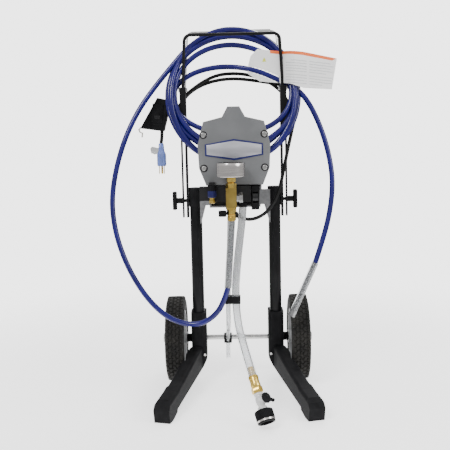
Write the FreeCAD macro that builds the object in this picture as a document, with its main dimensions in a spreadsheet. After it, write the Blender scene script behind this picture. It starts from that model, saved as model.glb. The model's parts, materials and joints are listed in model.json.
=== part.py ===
import FreeCAD, Part

import math
import os
import re

import Sketcher
from FreeCAD import Placement, Rotation, Vector

# Two-wheeled cart with an electric piston pump, its hoses and its power cord.
# The sub-parts are drawn with the wheel axle in the plane y = 0, +X to the
# right of someone facing the pump, the feet towards -Y and the floor at z = 0.
# Each sub-part's Placement then moves it back by axle_back, so that the origin
# is on the floor under the middle of the cart.

DOC = FreeCAD.newDocument("pump_cart")
SHEET = DOC.addObject("Spreadsheet::Sheet", "Sizes")

SIZES = {
    "axle_back": 93.5,
    # wheels and axle
    "wheel_radius": 101.5,
    "wheel_inner": 125,
    "wheel_width": 45,
    "rim_radius": 68,
    "axle_radius": 6,
    "hub_inner": 123,
    "hub_width": 50,
    "running_gap": 0.05,
    # legs, brackets and feet
    "leg_x": 92,
    "leg_y": -22,
    "leg_radius": 14,
    "leg_wall": 2,
    "leg_base": 62,
    "leg_top": 465,
    "cap_base": 425,
    "cap_top": 469,
    "cap_radius": 15.6,
    "bracket_inner": 74,
    "bracket_width": 36,
    "bracket_front": -42,
    "bracket_depth": 54,
    "bracket_base": 39,
    "bracket_top": 172,
    "foot_x": 100,
    "foot_width": 31,
    "toe_width": 35,
    "foot_reach": 250,
    "toe_height": 50,
    "splay": 14.3,
    # sliding upper frame
    "knob_z": 439,
    "knob_screw_radius": 4,
    "knob_bar_height": 43,
    "rail_inner": 108,
    "rail_outer": 122.5,
    "rail_front": -32,
    "rail_depth": 18,
    "rail_base": 400,
    "rail_split": 584,
    "rail_top": 700,
    "bolt_z": 694,
    "wire_radius": 3.5,
    "handle_y": -26.5,
    "handle_half": 114,
    "handle_top_half": 108,
    "handle_top": 817,
    "hanger_back": 38,
    "hanger_top": 829,
    # pump
    "motor_z": 474,
    "motor_radius": 42,
    "motor_back": 24,
    "housing_front": -125,
    "housing_depth": 37,
    "housing_base": 432,
    "wall": 4,
    "cover_depth": 15,
    "cover_wall": 3,
    "gear_module": 2,
    "pinion_teeth": 12,
    "crank_teeth": 48,
    "gear_width": 9,
    "gear_front": -102,
    "crank_throw": 12,
    "plunger_y": -113,
    "plunger_radius": 7,
    "prime_x": -49.5,
    "prime_y": -154.5,
    # brass work and gauge
    "stack_x": -8,
    "stack_y": -172,
    "block_base": 437,
    "block_top": 479,
    "block_width": 23,
    "gauge_base": 503,
    "gauge_height": 28,
    "gauge_radius": 30.5,
    # hose and cord
    "hose_radius": 6,
    "cord_radius": 4,
    "suction_radius": 8.5,
    "drain_radius": 5,
    "coil_z": 680.5,
    "coil_half_width": 155,
    "coil_half_height": 168,
    "coil_band": 29,
    "coil_thick": 14,
    "coil_tilt": 16.7,
    "coil_y": -30.5,
    "loop_z": 642,
    "loop_y": 14,
    "loop_half_width": 148,
    "loop_half_height": 95,
    "loop_band": 24,
    "loop_thick": 12,
}

for row, (alias, number) in enumerate(SIZES.items(), start=1):
    SHEET.set(f"A{row}", str(number))
    SHEET.setAlias(f"A{row}", alias)
DOC.recompute()

ALIAS = re.compile(r"\b(" + "|".join(SIZES) + r")\b")
PARTS = {}
EPS = 1e-6

X_AXIS = Rotation(Vector(0, 1, 0), 90)
Y_AXIS = Rotation(Vector(1, 0, 0), -90)
Z_AXIS = Rotation()


def val(alias):
    return SIZES[alias]


def bind(obj, prop, value):
    """Bind a property to an expression in the sheet's aliases, or set a number."""
    if isinstance(value, str):
        obj.setExpression(prop, ALIAS.sub(r"Sizes.\1", value))
    elif "." in prop:
        obj.setExpression(prop, repr(float(value)))
    else:
        setattr(obj, prop, value)


def place(obj, x, y, z, turn=Z_AXIS):
    obj.Placement = Placement(Vector(), turn)
    bind(obj, "Placement.Base.x", x)
    bind(obj, "Placement.Base.y", y)
    bind(obj, "Placement.Base.z", z)


def box(name, x, y, z):
    """A block between three (low, high) pairs."""
    obj = DOC.addObject("Part::Box", name)
    for prop, (low, high) in zip(("Length", "Width", "Height"), (x, y, z)):
        bind(obj, prop, f"({high}) - ({low})")
    place(obj, x[0], y[0], z[0])
    return obj


def rod(name, radius, length, x, y, z, turn=Z_AXIS):
    obj = DOC.addObject("Part::Cylinder", name)
    bind(obj, "Radius", radius)
    bind(obj, "Height", length)
    place(obj, x, y, z, turn)
    return obj


def hexagon(name, across_flats, length, x, y, z, turn=Z_AXIS):
    obj = DOC.addObject("Part::Prism", name)
    obj.Polygon = 6
    obj.Circumradius = across_flats / math.sqrt(3)
    bind(obj, "Height", length)
    place(obj, x, y, z, turn)
    return obj


def fuse(name, shapes):
    obj = DOC.addObject("Part::MultiFuse", name)
    obj.Shapes = shapes
    return obj


def cut(name, base, tools):
    obj = DOC.addObject("Part::Cut", name)
    obj.Base = base
    obj.Tool = tools[0] if len(tools) == 1 else fuse(name + "_tools", tools)
    return obj


def group(name, shapes):
    obj = DOC.addObject("Part::Compound", name)
    obj.Links = shapes
    return obj


def tube(name, radius, bore, length, x, y, z, turn=Z_AXIS):
    outer = rod(name + "_outer", radius, length, x, y, z, turn)
    inner = rod(name + "_bore", bore, length, x, y, z, turn)
    return cut(name, outer, [inner])


def round_edges(name, base, radius, wanted):
    """Fillet the edges of base whose middle point passes the test."""
    DOC.recompute()
    obj = DOC.addObject("Part::Fillet", name)
    obj.Base = base
    picked = []
    for number, edge in enumerate(base.Shape.Edges, start=1):
        middle = edge.valueAt((edge.FirstParameter + edge.LastParameter) / 2)
        if wanted(edge, middle):
            picked.append((number, radius, radius))
    obj.Edges = picked
    return obj


def along_z(edge, middle):
    ends = [vertex.Point for vertex in edge.Vertexes]
    return len(ends) == 2 and math.hypot(ends[0].x - ends[1].x, ends[0].y - ends[1].y) < EPS


def circular(edge, middle):
    return isinstance(edge.Curve, Part.Circle)


def origin_plane(body, role):
    return next(plane for plane in body.Origin.OriginFeatures if plane.Role == role)


def outline_sketch(body, name, role, corners):
    """A closed sketch of straight runs, each corner bound to the sheet."""
    sketch = body.newObject("Sketcher::SketchObject", name)
    sketch.AttachmentSupport = [(origin_plane(body, role), "")]
    sketch.MapMode = "FlatFace"
    rough = [Vector(math.cos(k * 2 * math.pi / len(corners)) * 10,
                    math.sin(k * 2 * math.pi / len(corners)) * 10, 0)
             for k in range(len(corners))]
    for k, start in enumerate(rough):
        sketch.addGeometry(Part.LineSegment(start, rough[(k + 1) % len(rough)]), False)
    for k in range(len(corners)):
        sketch.addConstraint(Sketcher.Constraint("Coincident", k, 2, (k + 1) % len(corners), 1))
    for k, corner in enumerate(corners):
        for kind, at in zip(("DistanceX", "DistanceY"), corner):
            number = sketch.addConstraint(Sketcher.Constraint(kind, -1, 1, k, 1, 1.0))
            label = f"{kind}{k}"
            sketch.renameConstraint(number, label)
            bind(sketch, f"Constraints.{label}", at if isinstance(at, str) else float(at))
    return sketch


def pad(body, name, sketch, length, both_ways=False):
    obj = body.newObject("PartDesign::Pad", name)
    obj.Profile = sketch
    obj.Midplane = both_ways
    bind(obj, "Length", length)
    return obj


def outline_body(name, role, corners, length, both_ways=False):
    body = DOC.addObject("PartDesign::Body", name)
    sketch = outline_sketch(body, name + "_sketch", role, corners)
    pad(body, name + "_pad", sketch, length, both_ways)
    return body


def keep(node, obj):
    """Register a finished sub-part and move it back by axle_back."""
    DOC.recompute()
    obj.Label = node
    path = "Placement.Base.y"
    bound = dict(obj.ExpressionEngine).get(path) or dict(obj.ExpressionEngine).get("." + path)
    start = f"({bound})" if bound else repr(obj.Placement.Base.y)
    obj.setExpression(path, f"{start} + Sizes.axle_back")
    PARTS[node] = obj


def keep_shape(node, shape, placement=None):
    """Register a sub-part whose shape is worked out from the sheet in code."""
    obj = DOC.addObject("Part::Feature", node + "_shape")
    obj.Shape = shape
    spot = placement or Placement()
    obj.Placement = Placement(spot.Base + Vector(0, val("axle_back"), 0), spot.Rotation)
    obj.Label = node
    PARTS[node] = obj


def side_name(side):
    return "left" if side < 0 else "right"


# ---------------------------------------------------------------- cart


def make_leg(side):
    name = side_name(side) + "_leg"
    x = f"{side} * leg_x"
    length = "leg_top - leg_base"
    post = tube(name + "_tube", "leg_radius", "leg_radius - leg_wall", length, x, "leg_y", "leg_base")
    hole = rod(name + "_hole", "knob_screw_radius + running_gap", 20, x, "leg_y", "knob_z",
               Rotation(Vector(0, 1, 0), 90 * side))
    keep(name, cut(name, post, [hole]))


def make_leg_caps():
    caps = []
    for side in (-1, 1):
        name = side_name(side) + "_cap"
        x = f"{side} * leg_x"
        shell = rod(name + "_shell", "cap_radius", "cap_top - cap_base", x, "leg_y", "cap_base")
        bore = rod(name + "_bore", "leg_radius + running_gap", "leg_top - cap_base",
                   x, "leg_y", "cap_base")
        hole = rod(name + "_hole", "knob_screw_radius + running_gap", 20, x, "leg_y", "knob_z",
                   Rotation(Vector(0, 1, 0), 90 * side))
        caps.append(cut(name, shell, [bore, hole]))
    keep("leg_caps", group("leg_caps_group", caps))


def make_bracket(side):
    """Moulded bracket that holds the leg, the axle and the foot, bevelled at its inner foot."""
    name = side_name(side) + "_bracket"
    near = "bracket_inner" if side > 0 else "-bracket_inner - bracket_width"
    far = "bracket_inner + bracket_width" if side > 0 else "-bracket_inner"
    block = box(name + "_block", (near, far),
                ("bracket_front", "bracket_front + bracket_depth"), ("bracket_base", "bracket_top"))
    rounded = round_edges(name + "_round", block, 9, along_z)
    leg_bore = rod(name + "_leg_bore", "leg_radius + running_gap", "bracket_top - leg_base",
                   f"{side} * leg_x", "leg_y", "leg_base")
    axle_bore = rod(name + "_axle_bore", "axle_radius + running_gap", 60, near, 0,
                    "wheel_radius", X_AXIS)
    screw_bore = rod(name + "_screw_bore", 2.05, 8, f"{side} * 79", "bracket_front", 71, Y_AXIS)
    bevel = outline_body(name + "_bevel", "XZ_Plane", [
        (f"{side} * (bracket_inner - 1)", "bracket_base + 22"),
        (f"{side} * (bracket_inner - 1)", "bracket_base - 2"),
        (f"{side} * (bracket_inner + 11)", "bracket_base - 2")], 200, True)
    keep(name, cut(name, rounded, [leg_bore, axle_bore, screw_bore, bevel]))


def make_foot(side):
    """Foot arm that slopes down to a wider toe, splayed outwards from the bracket's front."""
    name = side_name(side) + "_foot"
    reach = "foot_reach"
    arm = [(f"-{reach} + 40", 44), (f"-{reach} + 78", 52.5), (-130, 61), (-60, 78), (-20, 89), (20, 92),
           (20, "bracket_base + 3"), (f"-{reach} + 50", 9), (f"-{reach} + 40", 9)]
    toe = [(f"-{reach}", 28), (f"-{reach} + 8", 38), (f"-{reach} + 22", 45),
           (f"-{reach} + 60", "toe_height"), (f"-{reach} + 78", 54), (f"-{reach} + 53", 7),
           (f"-{reach} + 28", 0.0), (f"-{reach} + 5", 0.0)]
    turn = Rotation(Vector(0, 0, 1), side * val("splay"))
    rounded = []
    for piece, corners, width in (("arm", arm, "foot_width"), ("toe", toe, "toe_width")):
        body = outline_body(f"{name}_{piece}", "YZ_Plane", corners, width, True)
        place(body, f"{side} * foot_x", "bracket_front", 0, turn)
        rounded.append(round_edges(f"{name}_{piece}_round", body, 7.5, along_foot_top))
    behind = box(name + "_behind", (-200, 200), ("bracket_front", "bracket_front + 60"), (-10, 120))
    hollow = outline_body(name + "_hollow", "YZ_Plane", [
        (f"-{reach} + 26", -5), (f"-{reach} + 26", 28), (-30, 56), (-30, -5)], 23, True)
    place(hollow, f"{side} * foot_x", "bracket_front", 0, turn)
    start = "wheel_inner - 3" if side > 0 else "-wheel_inner - 57"
    relief = rod(name + "_relief", "wheel_radius + 3", 60, start, 0, "wheel_radius", X_AXIS)
    keep(name, cut(name, fuse(name + "_solid", rounded), [behind, hollow, relief]))


def along_foot_top(edge, middle):
    """Lengthwise edges along the top of a foot."""
    ends = [vertex.Point for vertex in edge.Vertexes]
    return middle.z > 46 and abs(ends[0].y - ends[1].y) > 14


def make_screws():
    """Round-headed screws in the bracket fronts and in the front cover."""
    screws = []
    places = [(side * 79, val("bracket_front"), 71, 3.5, 2, 7.5) for side in (-1, 1)]
    front = val("housing_front") - val("cover_depth")
    places += [(side * 66, front, height, 5.5, 2.5, 12) for side in (-1, 1) for height in (520, 592)]
    for number, (x, y, z, head, shank, depth) in enumerate(places):
        name = f"screw_{number}"
        cap = rod(name + "_head", head, 2.5, x, y - 2.5, z, Y_AXIS)
        dome = round_edges(name + "_dome", cap, 1.2, lambda edge, middle, y=y: circular(edge, middle)
                           and middle.y < y - 2)
        stem = rod(name + "_stem", shank, depth, x, y, z, Y_AXIS)
        socket = hexagon(name + "_socket", head * 0.8, 1.5, x, y - 2.5, z, Y_AXIS)
        screws.append(cut(name, fuse(name + "_solid", [dome, stem]), [socket]))
    keep("screws", group("screws_group", screws))


def make_axle():
    """Axle rod with a push-on cap at each end, and the spacers beside the wheels."""
    pieces = {"axle_caps": [], "axle_spacers": []}
    for node, start, length, radius in (("axle_spacers", 110.1, 12.7, 10), ("axle_caps", 173.4, 6, 11)):
        for side in (-1, 1):
            x = start if side > 0 else -start - length
            pieces[node].append(tube(f"{node}_{side_name(side)}", radius, "axle_radius", length,
                                     x, 0, "wheel_radius", X_AXIS))
    shaft = rod("axle_rod", "axle_radius", 356, -178, 0, "wheel_radius", X_AXIS)
    keep("axle", group("axle_group", [shaft] + pieces["axle_caps"]))
    keep("axle_spacers", group("axle_spacers_group", pieces["axle_spacers"]))


def make_wheel(side):
    name = side_name(side)
    x = "wheel_inner" if side > 0 else "-wheel_inner - wheel_width"
    disc = rod(name + "_tyre_disc", "wheel_radius", "wheel_width", x, 0, "wheel_radius", X_AXIS)
    rounded = round_edges(name + "_tyre_round", disc, 8, circular)
    seat = rod(name + "_tyre_seat", "rim_radius", "wheel_width", x, 0, "wheel_radius", X_AXIS)
    keep(name + "_tyre", cut(name + "_tyre", rounded, [seat]))
    band_x = "wheel_inner + 3" if side > 0 else "-wheel_inner - wheel_width + 3"
    band = tube(name + "_band", "rim_radius", "rim_radius - 7", "wheel_width - 6",
                band_x, 0, "wheel_radius", X_AXIS)
    web_x = "wheel_inner + 19" if side > 0 else "-wheel_inner - 27"
    web = rod(name + "_web", "rim_radius - 6", 8, web_x, 0, "wheel_radius", X_AXIS)
    hub_x = "hub_inner" if side > 0 else "-hub_inner - hub_width"
    hub = rod(name + "_hub", 15, "hub_width", hub_x, 0, "wheel_radius", X_AXIS)
    bore = rod(name + "_hub_bore", "axle_radius + running_gap", "hub_width", hub_x, 0,
               "wheel_radius", X_AXIS)
    windows = []
    for k in range(6):
        angle = math.radians(60 * k)
        windows.append(rod(f"{name}_window_{k}", 13, 12, web_x, 38 * math.cos(angle),
                           f"wheel_radius + {38 * math.sin(angle):.4f}", X_AXIS))
    solid = fuse(name + "_rim_solid", [band, web, hub])
    keep(name + "_rim", cut(name + "_rim", solid, [bore] + windows))


def make_knob(side):
    """Tee-handled screw that clamps a rail to its leg."""
    name = side_name(side) + "_knob"
    turn = Rotation(Vector(0, 1, 0), 90 * side)
    shank = rod(name + "_shank", "knob_screw_radius", 38, f"{side} * 99", "leg_y", "knob_z", turn)
    neck = rod(name + "_neck", 6.5, 12.9, f"{side} * 123.1", "leg_y", "knob_z", turn)
    low, high = sorted((side * 136, side * 146))
    bar = box(name + "_bar", (low, high), ("leg_y - 6.5", "leg_y + 6.5"),
              ("knob_z - knob_bar_height / 2", "knob_z + knob_bar_height / 2"))
    soft = round_edges(name + "_soft", bar, 3, lambda edge, middle: True)
    keep(name, fuse(name, [shank, neck, soft]))


def make_rail(side):
    """Box-section top that splits into two slotted straps below."""
    name = side_name(side) + "_rail"

    def across(low, high):
        return (low, high) if side > 0 else (f"-({high})", f"-({low})")

    depth = ("rail_front", "rail_front + rail_depth")
    top = box(name + "_top", across("rail_inner", "rail_outer"), depth, ("rail_split", "rail_top"))
    inner = box(name + "_inner", across("rail_inner", "rail_inner + 5"), depth,
                ("rail_base", "rail_split"))
    outer = box(name + "_outer", across("rail_outer - 3.5", "rail_outer"), depth,
                ("rail_base", "rail_split"))
    hollow = box(name + "_hollow", across("rail_inner + 2", "rail_outer - 2"),
                 ("rail_front + 1.5", "rail_front + rail_depth - 1.5"), ("rail_split + 8", "rail_top"))
    slot = box(name + "_slot", across("rail_inner - 1", "rail_outer + 1"),
               ("leg_y - 4.3", "leg_y + 4.3"), ("knob_z - 4.3", "rail_split"))
    bolt = rod(name + "_bolt_hole", 2.05, 30, across("rail_inner - 5", "rail_outer + 5")[0],
               "handle_y", "bolt_z", X_AXIS)
    solid = fuse(name + "_solid", [top, inner, outer])
    keep(name, cut(name, solid, [hollow, slot, bolt]))


def bent_wire(points, radii):
    """A wire of straight runs and tangent arcs through the corners."""
    edges = []
    start = points[0]
    for k in range(1, len(points) - 1):
        corner = points[k]
        before = (points[k - 1] - corner).normalize()
        after = (points[k + 1] - corner).normalize()
        half_turn = (math.pi - before.getAngle(after)) / 2
        setback = radii[k - 1] * math.tan(half_turn)
        enter = corner + before * setback
        leave = corner + after * setback
        inward = (before + after).normalize()
        gap = radii[k - 1] * (1 / math.cos(half_turn) - 1)
        edges.append(Part.LineSegment(start, enter).toShape())
        edges.append(Part.Arc(enter, corner + inward * gap, leave).toShape())
        start = leave
    edges.append(Part.LineSegment(start, points[-1]).toShape())
    return Part.Wire(edges)


def cord_radii(points):
    """Each arc as large as its two runs allow."""
    radii = []
    for k in range(1, len(points) - 1):
        before = points[k - 1] - points[k]
        after = points[k + 1] - points[k]
        half_turn = (math.pi - before.getAngle(after)) / 2
        radii.append(0.45 * min(before.Length, after.Length) / math.tan(half_turn))
    return radii


def swept_round(path, radius, start, direction):
    profile = Part.Wire(Part.Circle(start, direction, radius).toShape())
    return path.makePipe(Part.Face(profile))


def cord_tube(node, route, radius):
    points = [Vector(*point) for point in route]
    radii = cord_radii(points)
    path = bent_wire(points, radii)
    shape = swept_round(path, radius, points[0], points[1] - points[0])
    share = shape.Volume / (math.pi * radius ** 2 * path.Length)
    print(f"{node}: length {path.Length:.0f} mm, volume ratio {share:.4f}, radii",
          " ".join(f"{bend:.0f}" for bend in radii))
    keep_shape(node, shape)
    return shape


def make_handle():
    """Wire U whose ends sit in the rails' box sections."""
    half, top_half = val("handle_half"), val("handle_top_half")
    y, foot, top = val("handle_y"), val("rail_split") + 80, val("handle_top")
    points = [Vector(-half, y, foot), Vector(-half, y, val("rail_top") + 4), Vector(-top_half, y, top),
              Vector(top_half, y, top), Vector(half, y, val("rail_top") + 4), Vector(half, y, foot)]
    shape = swept_round(bent_wire(points, [40, 14, 14, 40]), val("wire_radius"), points[0],
                        Vector(0, 0, 1))
    holes = Part.makeCylinder(2.05, 300, Vector(-150, y, val("bolt_z")), Vector(1, 0, 0))
    keep_shape("handle", shape.cut(holes))


def make_hanger():
    """Rear wire U, welded behind the rails, that the hose coil leans on."""
    wire = val("wire_radius")
    y = val("rail_front") + val("rail_depth") + wire
    half = 112
    back, top = val("hanger_back"), val("hanger_top")
    points = [Vector(-half, y, 640), Vector(-half, y, 692), Vector(-106, back, top),
              Vector(106, back, top), Vector(half, y, 692), Vector(half, y, 640)]
    shape = swept_round(bent_wire(points, [40, 16, 16, 40]), wire, points[0], Vector(0, 0, 1))
    keep_shape("hanger", shape)


def make_handle_bolts():
    bolts = []
    for side in (-1, 1):
        name = f"bolt_{side_name(side)}"
        turn = Rotation(Vector(0, 1, 0), 90 * side)
        head = rod(name + "_head", 5, 2, f"{side} * rail_outer", "handle_y", "bolt_z", turn)
        shank = rod(name + "_shank", 2, 19, f"{side} * (rail_inner - 4)", "handle_y", "bolt_z", turn)
        nut = hexagon(name + "_nut", 8, 3.5, f"{side} * (rail_inner - 3.5)", "handle_y", "bolt_z", turn)
        bolts.append(fuse(name, [head, shank, nut]))
    keep("handle_bolts", group("handle_bolts_group", bolts))


# ---------------------------------------------------------------- pump


def cover_outline(inset):
    """Half widths of the grey casing, mirrored; inset shrinks it all round."""
    half = [(13, 652), (25, 630), (66, 620), (79, 570), (77, 520), (62, 482)]
    shrunk = [(f"{x} - {inset}", f"{z} - {inset}" if z > 600 else z) for x, z in half[:-1]]
    shrunk.append((f"{half[-1][0]} - {inset}", f"{half[-1][1]} + {inset}"))
    return [(x, z) for x, z in shrunk] + [(f"-({x})", z) for x, z in reversed(shrunk)]


def make_front_cover():
    body = outline_body("front_cover_body", "XZ_Plane", cover_outline(0), "cover_depth")
    place(body, 0, "housing_front", 0)
    inner = outline_body("front_cover_inner", "XZ_Plane", cover_outline(3), "cover_depth - cover_wall")
    place(inner, 0, "housing_front", 0)
    front = val("housing_front") - val("cover_depth")
    soft = round_edges("front_cover_soft", body, 2.5, lambda edge, middle: middle.y < front + EPS)
    shell = cut("front_cover_shell", soft, [inner])
    bosses = []
    holes = []
    for side in (-1, 1):
        for height in (520, 592):
            tag = f"{side_name(side)}_{height}"
            bosses.append(rod("boss_" + tag, 6, 11, side * 66, "housing_front - cover_depth + 2",
                              height, Y_AXIS))
            holes.append(rod("hole_" + tag, 2.55, 20, side * 66, "housing_front - cover_depth - 1",
                             height, Y_AXIS))
    solid = fuse("front_cover_solid", [shell] + bosses)
    keep("front_cover", cut("front_cover", solid, holes))


def housing_outline(inset):
    half = [(62, 614), (74, 570), (72, 520), (60, 486), (56, "housing_base")]
    shrunk = []
    for x, z in half:
        if z == 614:
            z = f"614 - {inset}"
        elif z == "housing_base":
            z = f"housing_base + {inset}"
        shrunk.append((f"{x} - {inset}", z))
    return shrunk + [(f"-({x})", z) for x, z in reversed(shrunk)]


def make_gear_housing():
    body = outline_body("gear_housing_body", "XZ_Plane", housing_outline(0), "housing_depth")
    place(body, 0, "housing_front + housing_depth", 0)
    cavity = outline_body("gear_housing_cavity", "XZ_Plane", housing_outline(4), "housing_depth - wall")
    place(cavity, 0, "housing_front + housing_depth - wall", 0)
    shell = cut("gear_housing_shell", body, [cavity])
    centre = "motor_z + gear_module * (pinion_teeth + crank_teeth) / 2"
    bores = [rod("housing_shaft_bore", "5 + running_gap", 10, 0, -95, "motor_z", Y_AXIS),
             rod("housing_crank_bore", "6 + running_gap", 10, 0, -95, centre, Y_AXIS)]
    keep("gear_housing", cut("gear_housing", shell, bores))


def make_motor():
    """Magnet motor: can with two magnets, vented end cap, wound rotor with its pinion."""
    front = "housing_front + housing_depth"
    can = tube("motor_can", "motor_radius", "motor_radius - 4", f"motor_back - ({front})",
               0, front, "motor_z", Y_AXIS)
    ring = tube("magnet_ring", "motor_radius - 4", 31, 62, 0, -68, "motor_z", Y_AXIS)
    gap = box("magnet_gap", (-12, 12), (-70, 0), ("motor_z - 60", "motor_z + 60"))
    keep("motor_housing", group("motor_housing_group", [can, cut("magnets", ring, [gap])]))

    disc = rod("motor_cap_disc", "motor_radius", 9, 0, "motor_back", "motor_z", Y_AXIS)
    soft = round_edges("motor_cap_soft", disc, 4, lambda edge, middle: circular(edge, middle)
                       and middle.y > val("motor_back") + 8)
    vents = [rod("motor_cap_bore", "5 + running_gap", 6, 0, "motor_back", "motor_z", Y_AXIS)]
    for k in range(8):
        angle = math.radians(45 * k)
        vents.append(rod(f"motor_vent_{k}", 5, 9, 26 * math.cos(angle), "motor_back",
                         f"motor_z + {26 * math.sin(angle):.4f}", Y_AXIS))
    keep("motor_cap", cut("motor_cap", soft, vents))


def tooth_flank(module, teeth, pressure, side):
    """Involute flank of one tooth centred on +X, from the root out to the tip."""
    pitch = module * teeth / 2
    base = pitch * math.cos(pressure)
    tip = pitch + module
    tooth_half = math.pi / (2 * teeth) - 0.02 / pitch * 2
    involute = math.tan(pressure) - pressure
    points = []
    for step in range(6):
        radius = base + (tip - base) * step / 5
        roll = math.sqrt(max((radius / base) ** 2 - 1, 0))
        angle = tooth_half + involute - (roll - math.atan(roll))
        points.append((radius, side * angle))
    return points


def gear_face(module, teeth, phase):
    """Flat gear outline with involute flanks, its first tooth turned by phase."""
    root = module * (teeth / 2 - 1.25)
    pressure = math.radians(20)
    edges = []
    last = None
    first = None
    for k in range(teeth):
        centre = phase + 2 * math.pi * k / teeth
        rising = [Vector(r * math.cos(centre + a), r * math.sin(centre + a), 0)
                  for r, a in tooth_flank(module, teeth, pressure, -1)]
        falling = [Vector(r * math.cos(centre + a), r * math.sin(centre + a), 0)
                   for r, a in reversed(tooth_flank(module, teeth, pressure, 1))]
        foot_in = rising[0] * (root / rising[0].Length)
        foot_out = falling[-1] * (root / falling[-1].Length)
        if last is not None:
            edges.append(Part.LineSegment(last, foot_in).toShape())
        else:
            first = foot_in
        edges.append(Part.LineSegment(foot_in, rising[0]).toShape())
        flank = Part.BSplineCurve()
        flank.interpolate(rising)
        edges.append(flank.toShape())
        edges.append(Part.LineSegment(rising[-1], falling[0]).toShape())
        flank = Part.BSplineCurve()
        flank.interpolate(falling)
        edges.append(flank.toShape())
        edges.append(Part.LineSegment(falling[-1], foot_out).toShape())
        last = foot_out
    edges.append(Part.LineSegment(last, first).toShape())
    return Part.Face(Part.Wire(edges))


def gear_solid(teeth, phase, z):
    """Gear about the Y axis through z; phase is measured from +X towards -Z."""
    solid = gear_face(val("gear_module"), teeth, phase).extrude(Vector(0, 0, val("gear_width")))
    solid.Placement = Placement(Vector(0, val("gear_front"), z), Y_AXIS)
    return solid


def y_rod(radius, start, end, x, z):
    return Part.makeCylinder(radius, end - start, Vector(x, start, z), Vector(0, 1, 0))


def make_rotor():
    z = val("motor_z")
    shaft = y_rod(5, val("gear_front"), 29, 0, z)
    core = y_rod(29, -66, -8, 0, z)
    commutator = y_rod(14, -4, 8, 0, z)
    fan = y_rod(34, 12, 18, 0, z)
    for k in range(6):
        angle = math.radians(60 * k)
        fan = fan.cut(y_rod(7, 10, 20, 22 * math.cos(angle), z + 22 * math.sin(angle)))
    pinion = gear_solid(val("pinion_teeth"), math.pi / 2 + math.pi / val("pinion_teeth"), z)
    keep_shape("rotor", shaft.fuse([core, commutator, fan, pinion]))


def make_crank_gear():
    z = val("motor_z") + val("gear_module") * (val("pinion_teeth") + val("crank_teeth")) / 2
    front = val("gear_front")
    gear = gear_solid(val("crank_teeth"), math.pi / 2, z)
    for k in range(5):
        angle = math.radians(72 * k + 18)
        gear = gear.cut(y_rod(9, front - 1, front + 20, 30 * math.cos(angle), z + 30 * math.sin(angle)))
    shaft = y_rod(6, front, -88.2, 0, z)
    pin = y_rod(4.5, -117.5, front + 1, val("crank_throw"), z)
    keep_shape("crank_gear", gear.fuse([shaft, pin]))


def make_plunger():
    """Scotch yoke and plunger; its window clears the crank pin all round."""
    centre = val("motor_z") + val("gear_module") * (val("pinion_teeth") + val("crank_teeth")) / 2
    y = val("plunger_y")
    frame = Part.makeBox(46, 10, 74, Vector(-23, y - 5, centre - 37))
    window = Part.makeBox(35, 12, 60, Vector(-17.5, y - 6, centre - 30))
    stem = Part.makeCylinder(val("plunger_radius"), 47, Vector(0, y, 451))
    keep_shape("piston_yoke", frame.cut(window).fuse(stem))
    cylinder = tube("cylinder", 10.5, "plunger_radius + running_gap", 31, 0, "plunger_y", 437)
    seat = rod("cylinder_seat", 10.5, 1, 0, "plunger_y", 436)
    keep("pump_cylinder", fuse("pump_cylinder", [cylinder, seat]))


def make_bracket_plate():
    """Grey cradle plate between the legs, under the motor."""
    half = [(92, 463), (92, 385), (80, 385), (68, 428)]
    corners = half + [(-x, z) for x, z in reversed(half)]
    plate = outline_body("cradle_plate", "XZ_Plane", corners, 8)
    place(plate, 0, -26, 0)
    bores = [rod("cradle_motor", "motor_radius + running_gap", 20, 0, -40, "motor_z", Y_AXIS)]
    for side in (-1, 1):
        bores.append(rod(f"cradle_leg_{side_name(side)}", "cap_radius + running_gap", 100,
                         f"{side} * leg_x", "leg_y", 380))
    keep("pump_cradle", cut("pump_cradle", plate, bores))


def make_manifold():
    """Black valve block under the cover with its outlet port in front."""
    left = box("manifold_left", (-77, -18), (-142, -125.1), (449, 480))
    middle = box("manifold_middle", (-20, 34), (-144, -125.1), (446, 480))
    port = rod("manifold_port", 9, "-144 - stack_y - block_width / 2", "stack_x",
               "stack_y + block_width / 2", 462, Y_AXIS)
    web = box("manifold_web", (-56, -43), (-143.4, -141), (462, 490))
    lug = box("manifold_lug", (-56, -43), (-159, -141), (484.4, 490))
    pin = rod("manifold_pin", 3, 17, "prime_x", "prime_y", 468)
    keep("manifold", fuse("manifold", [left, middle, port, web, lug, pin]))


def make_controls():
    """Knobs and switch that turn or rock."""
    knob = rod("prime_knob_grip", 9, 27, "prime_x", "prime_y", 457)
    soft = round_edges("prime_knob_soft", knob, 3, circular)
    collar = rod("prime_knob_collar", 5.5, 12.9, "prime_x", "prime_y", 444.1)
    bore = rod("prime_knob_bore", "3 + running_gap", 20, "prime_x", "prime_y", 467)
    keep("prime_knob", cut("prime_knob", fuse("prime_knob_solid", [soft, collar]), [bore]))
    stem_z = 424
    grip = rod("bleed_knob_grip", 6.5, 17, "stack_x - 28", "stack_y", stem_z, X_AXIS)
    stem = rod("bleed_knob_stem", 3, 26, "stack_x - 12", "stack_y", stem_z, X_AXIS)
    keep("bleed_knob", fuse("bleed_knob", [grip, stem]))
    case = box("switch_case", (36, 53), (-143, -125.1), (428, 480))
    slot = box("switch_slot", (38.5, 50.5), (-144, -129), (443, 467))
    soft_case = round_edges("switch_case_soft", case, 2, along_z)
    keep("switch_box", cut("switch_box", soft_case, [slot]))
    rocker = DOC.addObject("Part::Cylinder", "rocker_round")
    rocker.Radius = 11.5
    rocker.Height = 11.4
    place(rocker, 38.8, -134, 455, X_AXIS)
    behind = box("rocker_behind", (30, 60), (-134.2, -110), (430, 480))
    keep("power_switch", cut("power_switch", rocker, [behind]))


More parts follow.
